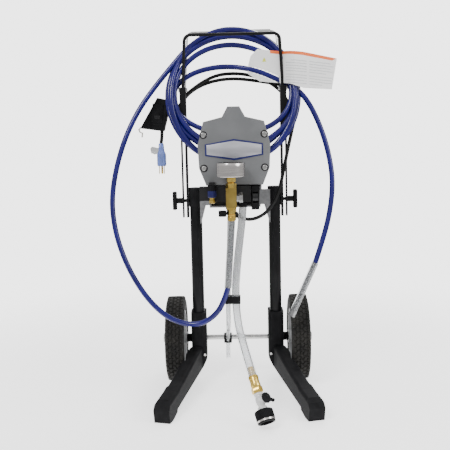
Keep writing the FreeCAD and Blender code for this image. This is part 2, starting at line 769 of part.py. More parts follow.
def make_brass():
    half = "block_width / 2"
    block = box("brass_cube", (f"stack_x - {half}", f"stack_x + {half}"),
                (f"stack_y - {half}", f"stack_y + {half}"), ("block_base", "block_top"))
    keep("brass_block", round_edges("brass_block_soft", block, 2, along_z))
    hexes = [hexagon("nipple_hex", 20, 10, "stack_x", "stack_y", "block_top"),
             rod("nipple_neck", 7.5, 14, "stack_x", "stack_y", "block_top + 10")]
    lower = [hexagon("outlet_hex", 18, 12, "stack_x", "stack_y", "block_base - 12"),
             rod("outlet_neck", 8, 17, "stack_x", "stack_y", "block_base - 29")]
    cross = rod("outlet_cross", 3.05, 40, "stack_x - 20", "stack_y", 424, X_AXIS)
    lower_solid = cut("outlet_fitting", fuse("outlet_solid", lower), [cross])
    keep("brass_fittings", group("brass_group", [fuse("nipple", hexes), lower_solid]))


def make_gauge():
    x, y = "stack_x", "stack_y"
    can = rod("gauge_can", "gauge_radius", "gauge_height", x, y, "gauge_base")
    soft = round_edges("gauge_soft", can, 2, circular)
    well = rod("gauge_well", "gauge_radius - 3", 8, x, y, "gauge_base + gauge_height - 8")
    post_hole = rod("gauge_post_hole", 1.55, 6, x, y, "gauge_base + gauge_height - 12")
    keep("gauge_case", cut("gauge_case", soft, [well, post_hole]))
    pointer_z = "gauge_base + gauge_height - 5.5"
    post = rod("pointer_post", 1.5, 5, x, y, "gauge_base + gauge_height - 11")
    disc = rod("pointer_disc", 3, 1, x, y, pointer_z)
    needle = box("pointer_needle", ("stack_x - 0.6", "stack_x + 0.6"),
                 ("stack_y - 20", "stack_y + 6"), (pointer_z, pointer_z + " + 1"))
    keep("gauge_pointer", fuse("gauge_pointer", [post, disc, needle]))


def make_inlet():
    """Zinc union nuts and the black elbow above the suction hose."""
    nuts = [hexagon("union_nut_small", 15, 6, "stack_x + 11.6", "stack_y", 458, X_AXIS),
            hexagon("union_nut_large", 19, 7, "stack_x + 17.7", "stack_y", 458, X_AXIS)]
    keep("union_nuts", fuse("union_nuts", nuts))
    elbow = [rod("inlet_stub", 8.5, 11.8, 17, -134, 434.1),
             hexagon("inlet_collar", 21, 5, 17, -134, 437.5)]
    boss = rod("gland_boss", 9, 5.9, -12, -104, 426)
    sleeve = rod("gland_sleeve", 6, 19.6, -12, -104, 427, Rotation(Vector(0, 1, 0), 135))
    keep("inlet_and_gland", group("inlet_and_gland_group", [fuse("inlet_fitting", elbow),
                                                            fuse("cord_gland", [boss, sleeve])]))


# ---------------------------------------------------------------- hoses and cord


def oval_ring(half_width, half_height, band, thick):
    """Flat oval ring about the local Z axis, centred on its own mid plane."""
    def oval(inset):
        wide, tall = half_width - inset, half_height - inset
        low = Vector(0, 0, -thick / 2)
        if tall > wide:
            curve = Part.Ellipse(low + Vector(0, tall, 0), low + Vector(wide, 0, 0), low)
        else:
            curve = Part.Ellipse(low + Vector(wide, 0, 0), low + Vector(0, tall, 0), low)
        return Part.Face(Part.Wire(curve.toShape()))
    return oval(0).cut(oval(band)).extrude(Vector(0, 0, thick))


def make_coils():
    ring = oval_ring(val("coil_half_width"), val("coil_half_height"), val("coil_band"),
                     val("coil_thick"))
    lean = Rotation(Vector(1, 0, 0), 90 - val("coil_tilt"))
    keep_shape("hose_coil", ring, Placement(Vector(0, val("coil_y"), val("coil_z")), lean))
    loops = oval_ring(val("loop_half_width"), val("loop_half_height"), val("loop_band"),
                      val("loop_thick"))
    upright = Rotation(Vector(1, 0, 0), 90)
    keep_shape("cord_coil", loops, Placement(Vector(0, val("loop_y"), val("loop_z")), upright))


HOSE_A = [(-143, -16, 745), (-176, -26, 706), (-214, -40, 655), (-246, -56, 592), (-268, -72, 522),
          (-279, -88, 450), (-272, -101, 382), (-251, -112, 316), (-222, -125, 262), (-190, -136, 220),
          (-155, -146, 191), (-116, -154, 177), (-79, -160, 178), (-48, -166, 199), (-29, -170, 229),
          (-19, -171.5, 262)]
HOSE_B = [(150, -27, 703), (176, -36, 655), (200, -47, 600), (216, -58, 541), (223, -69, 482),
          (216, -81, 420), (200, -93, 360), (178, -104, 300)]
HOSE_B_END = (122, -116, 181)
POWER_CORD = [(2, -104, 413), (18, -104, 403), (38, -100, 401), (58, -92, 407), (76, -80, 419),
              (92, -66, 440), (104, -58, 470), (113, -55, 510), (122, -52, 552), (132, -44, 592),
              (141, -30, 626), (148, -10, 654), (146, 6, 680), (134, 15, 700)]
SUCTION_FOOT = (31, -263, 88.5)
SUCTION = [(17, -134, 434), (14, -137, 400), (7, -143, 350), (1, -148, 300), (-3, -149.5, 250),
           (-1.5, -152.5, 205), (3, -165, 170), (10, -190, 147), (18, -224, 126),
           (24.9, -249.3, 107.3), SUCTION_FOOT]
DRAIN = [(-12, -134, 446), (-12.5, -135, 412), (-14.5, -139, 362), (-16.5, -144, 312),
         (-18.5, -148, 262), (-19.5, -147.5, 214), (-20, -128, 174), (-20.5, -92, 151),
         (-21.5, -54, 136), (-22.5, -26, 116), (-23.5, -14.5, 92), (-23.5, -10, 71), (-23.5, -7, 52)]


def make_hoses():
    cord_tube("hose_tail_a", HOSE_A, val("hose_radius"))
    cord_tube("hose_tail_b", HOSE_B, val("hose_radius"))
    cord_tube("power_cord", POWER_CORD, val("cord_radius"))
    suction = cord_tube("suction_hose", SUCTION, val("suction_radius"))
    drain = cord_tube("drain_tube", DRAIN, val("drain_radius"))
    make_clips(suction, drain)
    cord_tube("plug_cable", [(-169, 10, 602.5), (-169.8, 10, 588), (-172, 10, 573)], val("cord_radius"))


def make_clips(suction, drain):
    """Double clip on the two clear hoses, and the clip on the axle."""
    body = box("hose_clip_body", (-27, 8), (-160, -138), (222, 238))
    soft = round_edges("hose_clip_soft", body, 4, along_z)
    lower = box("axle_clip_body", (-33, -14), (-22, 9), (93, 110))
    lower_soft = round_edges("axle_clip_soft", lower, 3, along_z)
    axle_bore = rod("axle_clip_bore", "axle_radius", 28, -40, 0, "wheel_radius", X_AXIS)
    held = []
    for name, shape in (("clip_suction", suction), ("clip_drain", drain), ("axle_clip_drain", drain)):
        bore = DOC.addObject("Part::Feature", name)
        bore.Shape = shape
        held.append(bore)
    keep("hose_clips", group("clips_group", [cut("hose_clip", soft, held[:2]),
                                             cut("axle_clip", lower_soft, [axle_bore, held[2]])]))


def rod_between(start, end, radius):
    start, end = Vector(*start), Vector(*end)
    return Part.makeCylinder(radius, (end - start).Length, start, end - start)


def make_hose_ends():
    """Steel crimped ends, each inside a clear sleeve."""
    top = (val("stack_x"), val("stack_y"), val("block_base") - 29)
    foot = HOSE_A[-1]
    free_top = HOSE_B[-1]
    free_foot = HOSE_B_END
    ends = []
    for start, end in ((foot, top), (free_top, free_foot)):
        ends.append(rod_between(start, end, 4.2))
    middle = Vector(*free_foot) + (Vector(*free_top) - Vector(*free_foot)).normalize() * 16
    nut = rod_between(tuple(middle), free_foot, 8)
    bore = rod_between(tuple(middle), free_foot, 5.5)
    ends[1] = ends[1].fuse(nut).cut(bore)
    keep_shape("hose_ends", Part.makeCompound(ends))
    sleeves = []
    for start, end, trim in ((foot, top, 0), (free_top, free_foot, 17)):
        axis = (Vector(*end) - Vector(*start)).normalize()
        stop = tuple(Vector(*end) - axis * trim)
        sleeves.append(rod_between(start, stop, 7.5).cut(rod_between(start, stop, 4.2)))
    keep_shape("hose_sleeves", Part.makeCompound(sleeves))


def make_plug_box():
    """Ground-fault box on the cord, with its two buttons, and the plug below it."""
    corners = [(-176, 679), (-145, 672), (-164, 601), (-218, 609)]
    body = outline_body("gfci_body", "XZ_Plane", corners, 44)
    place(body, 0, 32, 0)
    soft = round_edges("gfci_soft", body, 2.5, lambda edge, middle: True)
    relief = rod("gfci_relief", 5, 8.9, -157, "loop_y", 642, X_AXIS)
    wells = []
    buttons = (("gfci_test_button", 652), ("gfci_reset_button", 634))
    for node, z in buttons:
        wells.append(box(node + "_well", (-184, -170), (-13, -6), (z - 4, z + 4)))
        cap = box(node + "_cap", (-183.8, -170.2), (-14, -8), (z - 3.8, z + 3.8))
        keep(node, round_edges(node + "_soft", cap, 0.8, lambda edge, middle: middle.y < -13.9))
    keep("gfci_box", cut("gfci_box", fuse("gfci_solid", [soft, relief]), wells))
    grip = box("plug_grip", (-183, -161), (-1, 21), (519, 573))
    soft_grip = round_edges("plug_soft", grip, 4, along_z)
    blades = [box("plug_blade_left", (-178.5, -177), (5, 11), (501, 519)),
              box("plug_blade_right", (-167, -165.5), (5, 11), (501, 519)),
              rod("plug_pin", 2.4, 21, -172, 15.5, 498)]
    keep("plug", fuse("plug", [soft_grip] + blades))


def make_suction_end():
    """Brass tail, ball valve and hose coupling at the foot of the suction hose."""
    top = Vector(*SUCTION_FOOT)
    nut_centre = Vector(52, -310, 24)
    axis = (nut_centre - top).normalize()

    def along(distance, radius, length, bore=0):
        spot = top + axis * distance
        solid = Part.makeCylinder(radius, length, spot, axis)
        if bore:
            solid = solid.cut(Part.makeCylinder(bore, length, spot, axis))
        return solid

    tail = along(0, 5.8, 30)
    ferrule = along(-3, 10.4, 24, 8.6)
    collar = along(21, 11.6, 12)
    valve = along(33, 9.8, 36)
    sideways = Vector(0.65, -0.76, 0)
    lever_axis = (sideways - axis * sideways.dot(axis)).normalize()
    hub = top + axis * 50
    boss = Part.makeCylinder(7.5, 13, hub, lever_axis)
    keep_shape("inlet_valve", Part.makeCompound([tail.fuse(ferrule).fuse(collar), valve.fuse(boss)]))
    stem = Part.makeCylinder(7.5, 6, hub + lever_axis * 13.1, lever_axis)
    disc = Part.makeCylinder(10.5, 6, hub + lever_axis * 16, lever_axis)
    lever = Part.makeBox(8, 17, 5, Vector(-4, 4, 0))
    arm = (Vector(1, 0, 0) - lever_axis * lever_axis.x).normalize()
    lever.Placement = Placement(hub + lever_axis * 16.5, Rotation(arm.cross(lever_axis), arm, lever_axis))
    keep_shape("valve_lever", stem.fuse(disc).fuse(lever))
    nut = along(69.1, 19.5, 27, 13.3)
    floor = along(69.1, 19.5, 4)
    keep_shape("coupling_nut", nut.fuse(floor))
    print("valve hub", hub, "lever axis", lever_axis, "nut axis", axis)


def make_tag():
    """Thin card threaded behind the handle and in front of the coil."""
    path = [(34, -19.5), (80, -21.8), (104, -22.4), (114, -22.5), (118, -24.5), (122, -30),
            (127, -35.5), (137, -38.5), (150, -38.5), (178, -35), (208, -31), (238, -28)]
    front = Part.BSplineCurve()
    front.interpolate([Vector(x, y, 680) for x, y in path])
    thick = 0.8
    back = Part.BSplineCurve()
    back.interpolate([Vector(x, y + thick, 680) for x, y in path])
    ends = [Part.LineSegment(Vector(x, y, 680), Vector(x, y + thick, 680)).toShape()
            for x, y in (path[0], path[-1])]
    outline = Part.Wire([ends[0], front.toShape(), ends[1], back.toShape()])
    card = Part.Face(outline).extrude(Vector(0, 0, 110))
    corners = [(34, 730), (42, 768), (58, 783), (90, 779), (160, 772), (238, 757), (226, 688),
               (160, 692), (128, 703), (62, 710)]
    window = Part.makePolygon([Vector(x, -80, z) for x, z in corners + corners[:1]])
    keep_shape("warning_tag", card.common(Part.Face(window).extrude(Vector(0, 160, 0))))


def make_all():
    for side in (-1, 1):
        make_leg(side)
        make_bracket(side)
        make_foot(side)
        make_wheel(side)
        make_knob(side)
        make_rail(side)
    make_leg_caps()
    make_screws()
    make_axle()
    make_handle()
    make_hanger()
    make_handle_bolts()
    make_front_cover()
    make_gear_housing()
    make_motor()
    make_rotor()
    make_crank_gear()
    make_plunger()
    make_bracket_plate()
    make_manifold()
    make_controls()
    make_brass()
    make_gauge()
    make_inlet()
    make_coils()
    make_hoses()
    make_hose_ends()
    make_plug_box()
    make_suction_end()
    make_tag()


def export_all():
    DOC.recompute()
    for obj in DOC.Objects:
        if "Invalid" in obj.State or "Error" in obj.State:
            raise RuntimeError(f"{obj.Name} failed: {obj.State}")
    os.makedirs("parts", exist_ok=True)
    for node, obj in PARTS.items():
        shape = obj.Shape
        if shape.isNull() or not shape.isValid() or not shape.Solids:
            raise RuntimeError(f"{node} has no valid solid")
        shape.exportStep(f"parts/{node}.step")
    print(len(PARTS), "sub-parts written")


make_all()
export_all()
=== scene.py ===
import json
import math

import bmesh
import bpy
from mathutils import Matrix, Vector


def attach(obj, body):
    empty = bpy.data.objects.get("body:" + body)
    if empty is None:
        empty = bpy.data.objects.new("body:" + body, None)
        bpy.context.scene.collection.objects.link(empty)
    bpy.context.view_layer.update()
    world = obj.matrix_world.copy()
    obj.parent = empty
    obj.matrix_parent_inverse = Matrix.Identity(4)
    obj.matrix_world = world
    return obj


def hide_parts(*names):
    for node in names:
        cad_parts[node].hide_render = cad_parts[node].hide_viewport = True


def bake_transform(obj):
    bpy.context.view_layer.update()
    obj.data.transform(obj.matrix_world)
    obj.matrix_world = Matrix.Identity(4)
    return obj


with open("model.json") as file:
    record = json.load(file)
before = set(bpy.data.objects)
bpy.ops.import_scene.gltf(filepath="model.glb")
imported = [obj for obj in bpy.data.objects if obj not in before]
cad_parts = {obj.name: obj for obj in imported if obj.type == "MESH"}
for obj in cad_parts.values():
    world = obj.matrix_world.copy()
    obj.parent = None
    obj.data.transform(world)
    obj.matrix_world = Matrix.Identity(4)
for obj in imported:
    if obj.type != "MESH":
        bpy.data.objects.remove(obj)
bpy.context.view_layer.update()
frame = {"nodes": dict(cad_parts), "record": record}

X, Y, Z = Vector((1, 0, 0)), Vector((0, 1, 0)), Vector((0, 0, 1))

# Places in mm, measured from the floor under the middle of the wheel axle.
AXLE_BACK = 93.5            # the frame's origin is this far in front of the axle
WHEEL_X, WHEEL_Z = 147.5, 101.5     # middle of a wheel
COVER_FRONT = -140          # outer face of the front cover
STACK_X, STACK_Y = -8, -172         # upright through the gauge, the brass block and the outlet
PRIME_X, PRIME_Y = -49.5, -154.5    # upright through the priming knob
PLUG_X, PLUG_Y = -172, 10           # upright through the plug

ROOM_WHITE = 3.6            # brightness of the room where the camera sees it
FLOOR_GLOW = 1.25           # lifts the floor to nearly that


def spot(x, y, z):
    """A place given in mm, as a point in the frame's metres."""
    return Vector((x, y + AXLE_BACK, z)) / 1000


# ---------------------------------------------------------------- camera, floor and light


def make_camera():
    """A camera in front of the cart, at the pump's height, with its turns in radians."""
    pitch, yaw, roll = 0.1333, -0.0135, -0.0218
    level = Vector((math.sin(yaw), math.cos(yaw), 0))
    side = Vector((math.cos(yaw), -math.sin(yaw), 0))
    look = level * math.cos(pitch) - Z * math.sin(pitch)
    above = Z * math.cos(pitch) + level * math.sin(pitch)
    right = side * math.cos(roll) + above * math.sin(roll)
    up = above * math.cos(roll) - side * math.sin(roll)
    turn = Matrix((right, up, -look)).transposed().to_4x4()
    data = bpy.data.cameras.new("camera")
    data.lens = 59.1
    data.sensor_width = 36
    camera = bpy.data.objects.new("camera", data)
    camera.matrix_world = Matrix.Translation(spot(-1.4, -1746.9, 610.6)) @ turn
    bpy.context.scene.collection.objects.link(camera)
    bpy.context.scene.camera = camera


def area_light(name, place, target, size, watts):
    """A round lamp, placed and aimed in the frame's metres."""
    data = bpy.data.lights.new(name, "AREA")
    data.shape = "DISK"
    data.size = size
    data.energy = watts
    lamp = bpy.data.objects.new(name, data)
    aim = (Vector(target) - Vector(place)).to_track_quat("-Z", "Y")
    lamp.matrix_world = Matrix.Translation(place) @ aim.to_matrix().to_4x4()
    bpy.context.scene.collection.objects.link(lamp)


def make_studio():
    """Three lamps in a room that is bright above and darker below, and plain white to the camera."""
    area_light("key", (-1.1, -1.6, 2.2), (0, 0, 0.5), 0.9, 48)
    area_light("fill", (1.7, -1.0, 1.3), (0, 0, 0.4), 1.1, 22)
    area_light("rim", (0.5, 1.7, 1.9), (0, 0, 0.5), 1.2, 30)
    world = bpy.data.worlds.new("studio")
    world.use_nodes = True
    nodes, links = world.node_tree.nodes, world.node_tree.links
    background = nodes["Background"]
    background.inputs["Color"].default_value = (1, 1, 1, 1)
    place = nodes.new("ShaderNodeTexCoord")
    split = nodes.new("ShaderNodeSeparateXYZ")
    links.new(place.outputs["Generated"], split.inputs["Vector"])
    room = nodes.new("ShaderNodeMapRange")
    room.inputs["From Min"].default_value = -0.6
    room.inputs["From Max"].default_value = 0.8
    room.inputs["To Min"].default_value = 0.35
    room.inputs["To Max"].default_value = 1.15
    links.new(split.outputs["Z"], room.inputs["Value"])
    seen = nodes.new("ShaderNodeLightPath")
    mix = nodes.new("ShaderNodeMix")
    links.new(seen.outputs["Is Camera Ray"], mix.inputs["Factor"])
    links.new(room.outputs["Result"], mix.inputs["A"])
    mix.inputs["B"].default_value = ROOM_WHITE
    links.new(mix.outputs["Result"], background.inputs["Strength"])
    bpy.context.scene.world = world


def make_floor():
    """A pale floor under the cart that fades into the bright room round it."""
    work = bmesh.new()
    bmesh.ops.create_circle(work, cap_ends=True, segments=96, radius=2,
                            matrix=Matrix.Translation((0, 0, -0.0005)))
    mesh = bpy.data.meshes.new("floor")
    work.to_mesh(mesh)
    work.free()
    floor = bpy.data.objects.new("floor", mesh)
    bpy.context.scene.collection.objects.link(floor)
    pale = bpy.data.materials.new("pale_floor")
    pale.use_nodes = True
    nodes, links = pale.node_tree.nodes, pale.node_tree.links
    shader = nodes["Principled BSDF"]
    shader.inputs["Base Color"].default_value = (0.85, 0.85, 0.85, 1)
    shader.inputs["Roughness"].default_value = 0.9
    shader.inputs["Emission Color"].default_value = (1, 1, 1, 1)
    shader.inputs["Emission Strength"].default_value = FLOOR_GLOW
    place = nodes.new("ShaderNodeTexCoord")
    away = nodes.new("ShaderNodeVectorMath")
    away.operation = "LENGTH"
    links.new(place.outputs["Object"], away.inputs[0])
    fade = nodes.new("ShaderNodeMapRange")
    fade.interpolation_type = "SMOOTHSTEP"
    fade.inputs["From Min"].default_value = 0.4
    fade.inputs["From Max"].default_value = 1.4
    links.new(away.outputs["Value"], fade.inputs["Value"])
    open_air = nodes.new("ShaderNodeBsdfTransparent")
    mix = nodes.new("ShaderNodeMixShader")
    links.new(fade.outputs["Result"], mix.inputs["Fac"])
    links.new(shader.outputs["BSDF"], mix.inputs[1])
    links.new(open_air.outputs["BSDF"], mix.inputs[2])
    links.new(mix.outputs["Shader"], nodes["Material Output"].inputs["Surface"])
    mesh.materials.append(pale)


# ---------------------------------------------------------------- materials


def surface(name, dark, light, rough=0.5, rough_spread=0.1, metal=0.0, grain=40.0, bump=0.05,
            bump_grain=400.0, coat=0.0, sheen=0.0, clear=0.0, ior=1.45, stretch=(1, 1, 1), shine=0.5,
            wear=None):
    """Procedural finish: two tones mixed by noise, uneven roughness and a fine bump.

    wear is a paler tone that shows along worn edges; clear is the share of light let through."""
    made = bpy.data.materials.new(name)
    made.use_nodes = True
    nodes, links = made.node_tree.nodes, made.node_tree.links
    shader = nodes["Principled BSDF"]
    place = nodes.new("ShaderNodeTexCoord")
    fit = nodes.new("ShaderNodeMapping")
    fit.inputs["Scale"].default_value = stretch
    links.new(place.outputs["Object"], fit.inputs["Vector"])
    tone = nodes.new("ShaderNodeTexNoise")
    tone.inputs["Scale"].default_value = grain
    tone.inputs["Detail"].default_value = 4
    links.new(fit.outputs["Vector"], tone.inputs["Vector"])
    ramp = nodes.new("ShaderNodeValToRGB")
    ramp.color_ramp.elements[0].position = 0.3
    ramp.color_ramp.elements[1].position = 0.7
    ramp.color_ramp.elements[0].color = (*dark, 1)
    ramp.color_ramp.elements[1].color = (*light, 1)
    links.new(tone.outputs["Fac"], ramp.inputs["Fac"])
    colour = ramp.outputs["Color"]
    if wear:
        colour = worn_edges(nodes, links, colour, tone.outputs["Fac"], wear)
    links.new(colour, shader.inputs["Base Color"])
    spread = nodes.new("ShaderNodeMapRange")
    spread.inputs["To Min"].default_value = max(rough - rough_spread, 0.02)
    spread.inputs["To Max"].default_value = min(rough + rough_spread, 1.0)
    links.new(tone.outputs["Fac"], spread.inputs["Value"])
    links.new(spread.outputs["Result"], shader.inputs["Roughness"])
    fine = nodes.new("ShaderNodeTexNoise")
    fine.inputs["Scale"].default_value = bump_grain
    fine.inputs["Detail"].default_value = 3
    links.new(fit.outputs["Vector"], fine.inputs["Vector"])
    raise_up = nodes.new("ShaderNodeBump")
    raise_up.inputs["Strength"].default_value = bump
    raise_up.inputs["Distance"].default_value = 0.001
    links.new(fine.outputs["Fac"], raise_up.inputs["Height"])
    links.new(raise_up.outputs["Normal"], shader.inputs["Normal"])
    shader.inputs["Metallic"].default_value = metal
    shader.inputs["Coat Weight"].default_value = coat
    shader.inputs["Coat Roughness"].default_value = 0.12
    shader.inputs["Sheen Weight"].default_value = sheen
    shader.inputs["Specular IOR Level"].default_value = shine
    shader.inputs["Transmission Weight"].default_value = clear
    shader.inputs["IOR"].default_value = ior
    return made


def worn_edges(nodes, links, colour, patches, wear):
    """The tone, with a paler one along sharp edges where the patches are high."""
    rounded = nodes.new("ShaderNodeBevel")
    rounded.samples = 4
    rounded.inputs["Radius"].default_value = 0.0012
    flat = nodes.new("ShaderNodeNewGeometry")
    alike = nodes.new("ShaderNodeVectorMath")
    alike.operation = "DOT_PRODUCT"
    links.new(rounded.outputs["Normal"], alike.inputs[0])
    links.new(flat.outputs["Normal"], alike.inputs[1])
    sharp = nodes.new("ShaderNodeMapRange")
    sharp.inputs["From Min"].default_value = 0.97
    sharp.inputs["From Max"].default_value = 0.8
    links.new(alike.outputs["Value"], sharp.inputs["Value"])
    amount = nodes.new("ShaderNodeMath")
    amount.operation = "MULTIPLY"
    links.new(sharp.outputs["Result"], amount.inputs[0])
    links.new(patches, amount.inputs[1])
    mix = nodes.new("ShaderNodeMix")
    mix.data_type = "RGBA"
    links.new(amount.outputs["Value"], mix.inputs["Factor"])
    links.new(colour, mix.inputs["A"])
    mix.inputs["B"].default_value = (*wear, 1)
    return mix.outputs["Result"]


def make_finishes():
    """One finish for each of the record's material slots, and a few for the details."""
    grey = (0.1, 0.1, 0.105)
    return {
        "frame_paint": surface("black_gloss_paint", (0.004, 0.004, 0.0045), (0.008, 0.008, 0.009),
                               rough=0.34, grain=25, bump=0.12, bump_grain=260, coat=0.06, shine=0.15,
                               wear=grey),
        "black_plastic": surface("black_textured_plastic", (0.005, 0.005, 0.0055),
                                 (0.011, 0.011, 0.012), rough=0.6, grain=60, bump=0.25,
                                 bump_grain=900, shine=0.07),
        "tyre_rubber": surface("tyre_rubber", (0.008, 0.0078, 0.0075), (0.02, 0.019, 0.017), rough=0.75,
                               grain=30, bump=0.3, bump_grain=700, sheen=0.03, shine=0.2),
        "rim_grey": surface("rim_plastic", (0.33, 0.335, 0.34), (0.4, 0.405, 0.41), rough=0.42,
                            grain=45, bump=0.1, bump_grain=700),
        "zinc_steel": surface("zinc_plate", (0.36, 0.36, 0.36), (0.52, 0.52, 0.51), rough=0.25, metal=1.0,
                              grain=90, bump=0.06, bump_grain=900),
        "cover_grey": surface("grey_satin_paint", (0.115, 0.118, 0.122), (0.14, 0.143, 0.148),
                              rough=0.45, grain=18, bump=0.1, bump_grain=500, coat=0.05, shine=0.3,
                              wear=(0.3, 0.3, 0.31)),
        "cast_grey": surface("grey_casting", (0.16, 0.16, 0.165), (0.22, 0.22, 0.225), rough=0.5,
                             metal=0.4, grain=120, bump=0.35, bump_grain=600),
        "motor_black": surface("black_satin_paint", (0.006, 0.006, 0.0065), (0.012, 0.012, 0.013),
                               rough=0.42, grain=30, bump=0.2, bump_grain=450, shine=0.25, wear=grey),
        "inner_steel": surface("machined_steel", (0.35, 0.35, 0.36), (0.5, 0.5, 0.51), rough=0.35,
                               metal=1.0, grain=60, bump=0.05, bump_grain=900),
        "brass": surface("turned_brass", (0.5, 0.33, 0.06), (0.78, 0.56, 0.15), rough=0.24, metal=1.0,
                         grain=55, bump=0.05, bump_grain=800),
        "gauge_steel": surface("polished_stainless", (0.46, 0.44, 0.43), (0.6, 0.57, 0.55), rough=0.2,
                               metal=1.0, grain=30, bump=0.03, bump_grain=900, stretch=(1, 1, 20)),
        "needle_black": surface("needle_paint", (0.01, 0.01, 0.01), (0.02, 0.02, 0.02), rough=0.5),
        "hose_blue": surface("blue_hose_jacket", (0.004, 0.003, 0.075), (0.008, 0.006, 0.125), rough=0.22,
                             rough_spread=0.05, grain=20, bump=0.1, bump_grain=300, coat=0.2,
                             shine=0.3),
        "cord_black": surface("cord_rubber", (0.004, 0.004, 0.004), (0.009, 0.009, 0.009), rough=0.5,
                              grain=50, bump=0.15, bump_grain=800, shine=0.2),
        "clear_tube": surface("clear_hose", (0.84, 0.85, 0.86), (0.9, 0.91, 0.92), rough=0.16,
                              rough_spread=0.03, grain=12, bump=0.01, bump_grain=60, clear=0.85,
                              ior=1.33),
        "sleeve_clear": surface("clear_sleeve", (0.88, 0.9, 0.92), (0.94, 0.95, 0.96), rough=0.1,
                                rough_spread=0.02, grain=12, bump=0.01, bump_grain=60, clear=0.97,
                                ior=1.3),
        "knob_blue": surface("navy_knob_plastic", (0.006, 0.007, 0.05), (0.01, 0.012, 0.09), rough=0.34,
                             grain=60, bump=0.08, bump_grain=700, coat=0.15, shine=0.3),
        "valve_white": surface("valve_plastic", (0.5, 0.5, 0.5), (0.62, 0.62, 0.61), rough=0.3,
                               grain=50, bump=0.08, bump_grain=600, coat=0.2),
        "plug_blue": surface("clear_blue_plug", (0.16, 0.24, 0.66), (0.3, 0.4, 0.85), rough=0.2,
                             grain=60, bump=0.06, bump_grain=500, clear=0.45, ior=1.4),
        "tag_white": surface("tag_film", (0.88, 0.88, 0.88), (0.97, 0.97, 0.96), rough=0.25, grain=14,
                             bump=0.06, bump_grain=120, clear=0.1, ior=1.3),
        "switch_red": surface("gloss_black_plastic", (0.004, 0.004, 0.005), (0.008, 0.008, 0.009),
                              rough=0.25, grain=50, bump=0.04, bump_grain=600, coat=0.2, shine=0.3),
        "badge_silver": surface("badge_foil", (0.32, 0.32, 0.35), (0.46, 0.46, 0.5), rough=0.35,
                                metal=0.5, grain=14, bump=0.04, bump_grain=600, stretch=(1, 1, 6)),
        "badge_blue": surface("badge_enamel", (0.004, 0.006, 0.06), (0.008, 0.011, 0.1), rough=0.3,
                              grain=40, bump=0.03, bump_grain=500, coat=0.2),
        "dial_white": surface("dial_enamel", (0.78, 0.78, 0.76), (0.86, 0.86, 0.84), rough=0.4,
                              grain=30, bump=0.02, bump_grain=500),
        "lens": surface("dial_lens", (0.93, 0.95, 0.95), (0.97, 0.98, 0.98), rough=0.05,
                        rough_spread=0.02, grain=20, bump=0.01, bump_grain=200, clear=0.97, ior=1.2),
        "tag_orange": surface("tag_orange_ink", (0.72, 0.12, 0.02), (0.84, 0.17, 0.035), rough=0.4,
                              grain=40, bump=0.04, bump_grain=300),
        "tag_grey": surface("tag_grey_ink", (0.46, 0.47, 0.48), (0.58, 0.59, 0.6), rough=0.4,
                            grain=300, bump=0.04, bump_grain=300),
        "tag_yellow": surface("tag_yellow_ink", (0.55, 0.6, 0.05), (0.68, 0.7, 0.09), rough=0.4,
                              grain=60, bump=0.04, bump_grain=300),
        "crimp_steel": surface("crimp_steel", (0.2, 0.2, 0.205), (0.32, 0.32, 0.325), rough=0.28,
                               metal=1.0, grain=80, bump=0.08, bump_grain=700, stretch=(1, 1, 5)),
        "dark_brass": surface("aged_brass", (0.28, 0.19, 0.045), (0.44, 0.32, 0.09), rough=0.3,
                              metal=1.0, grain=40, bump=0.1, bump_grain=600),
        "grip_grey": surface("grey_grip_sleeve", (0.3, 0.3, 0.3), (0.4, 0.4, 0.4), rough=0.6,
                             grain=50, bump=0.3, bump_grain=700, shine=0.3),
        "hook_zinc": surface("yellowed_zinc", (0.5, 0.46, 0.38), (0.66, 0.62, 0.52), rough=0.4,
                             metal=0.7, grain=70, bump=0.1, bump_grain=700),
    }


def finish_node(node, made):
    mesh = frame["nodes"][node].data
    mesh.materials.clear()
    mesh.materials.append(made)


def finish_frame(finishes):
    """Gives every CAD node the finish of its material slot."""
    for entry in frame["record"]["subparts"]:
        finish_node(entry["node"], finishes[entry["material_slot"]])
    finish_node("hose_ends", finishes["crimp_steel"])
    finish_node("brass_block", finishes["dark_brass"])


# ---------------------------------------------------------------- mesh helpers


def piece(name, mesh, made, body, smooth=True):
    """A new object on a body of the frame, with its finish."""
    for one in made if isinstance(made, (list, tuple)) else [made]:
        mesh.materials.append(one)
    thing = bpy.data.objects.new(name, mesh)
    bpy.context.scene.collection.objects.link(thing)
    if smooth:
        mesh.shade_smooth()
        mesh.set_sharp_from_angle(angle=math.radians(40))
    if body:
        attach(thing, body)
    return thing


def to_mesh(name, work):
    bmesh.ops.recalc_face_normals(work, faces=work.faces[:])
    mesh = bpy.data.meshes.new(name)
    work.to_mesh(mesh)
    work.free()
    return mesh


def line_of(points):
    """Points read along the smooth curve that a cord's route makes."""
    curve = bpy.data.curves.new("route", "CURVE")
    curve.dimensions = "3D"
    curve.resolution_u = 6
    spline = curve.splines.new("NURBS")
    spline.points.add(len(points) - 1)
    for knot, point in zip(spline.points, points):
        knot.co = (*point, 1)
    spline.order_u = 3
    spline.use_endpoint_u = True
    holder = bpy.data.objects.new("route", curve)
    mesh = bpy.data.meshes.new_from_object(holder)
    line = [vertex.co.copy() for vertex in mesh.vertices]
    bpy.data.objects.remove(holder)
    bpy.data.meshes.remove(mesh)
    bpy.data.curves.remove(curve)
    return line


def frames_along(line):
    """(point, side, other side) at each point of a line, with no twist between them."""
    found = []
    side = None
    for k, point in enumerate(line):
        ahead = line[min(k + 1, len(line) - 1)]
        behind = line[max(k - 1, 0)]
        tangent = (ahead - behind).normalized()
        if side is None:
            side = tangent.orthogonal().normalized()
        side = (side - tangent * side.dot(tangent)).normalized()
        found.append((point, side, tangent.cross(side)))
    return found


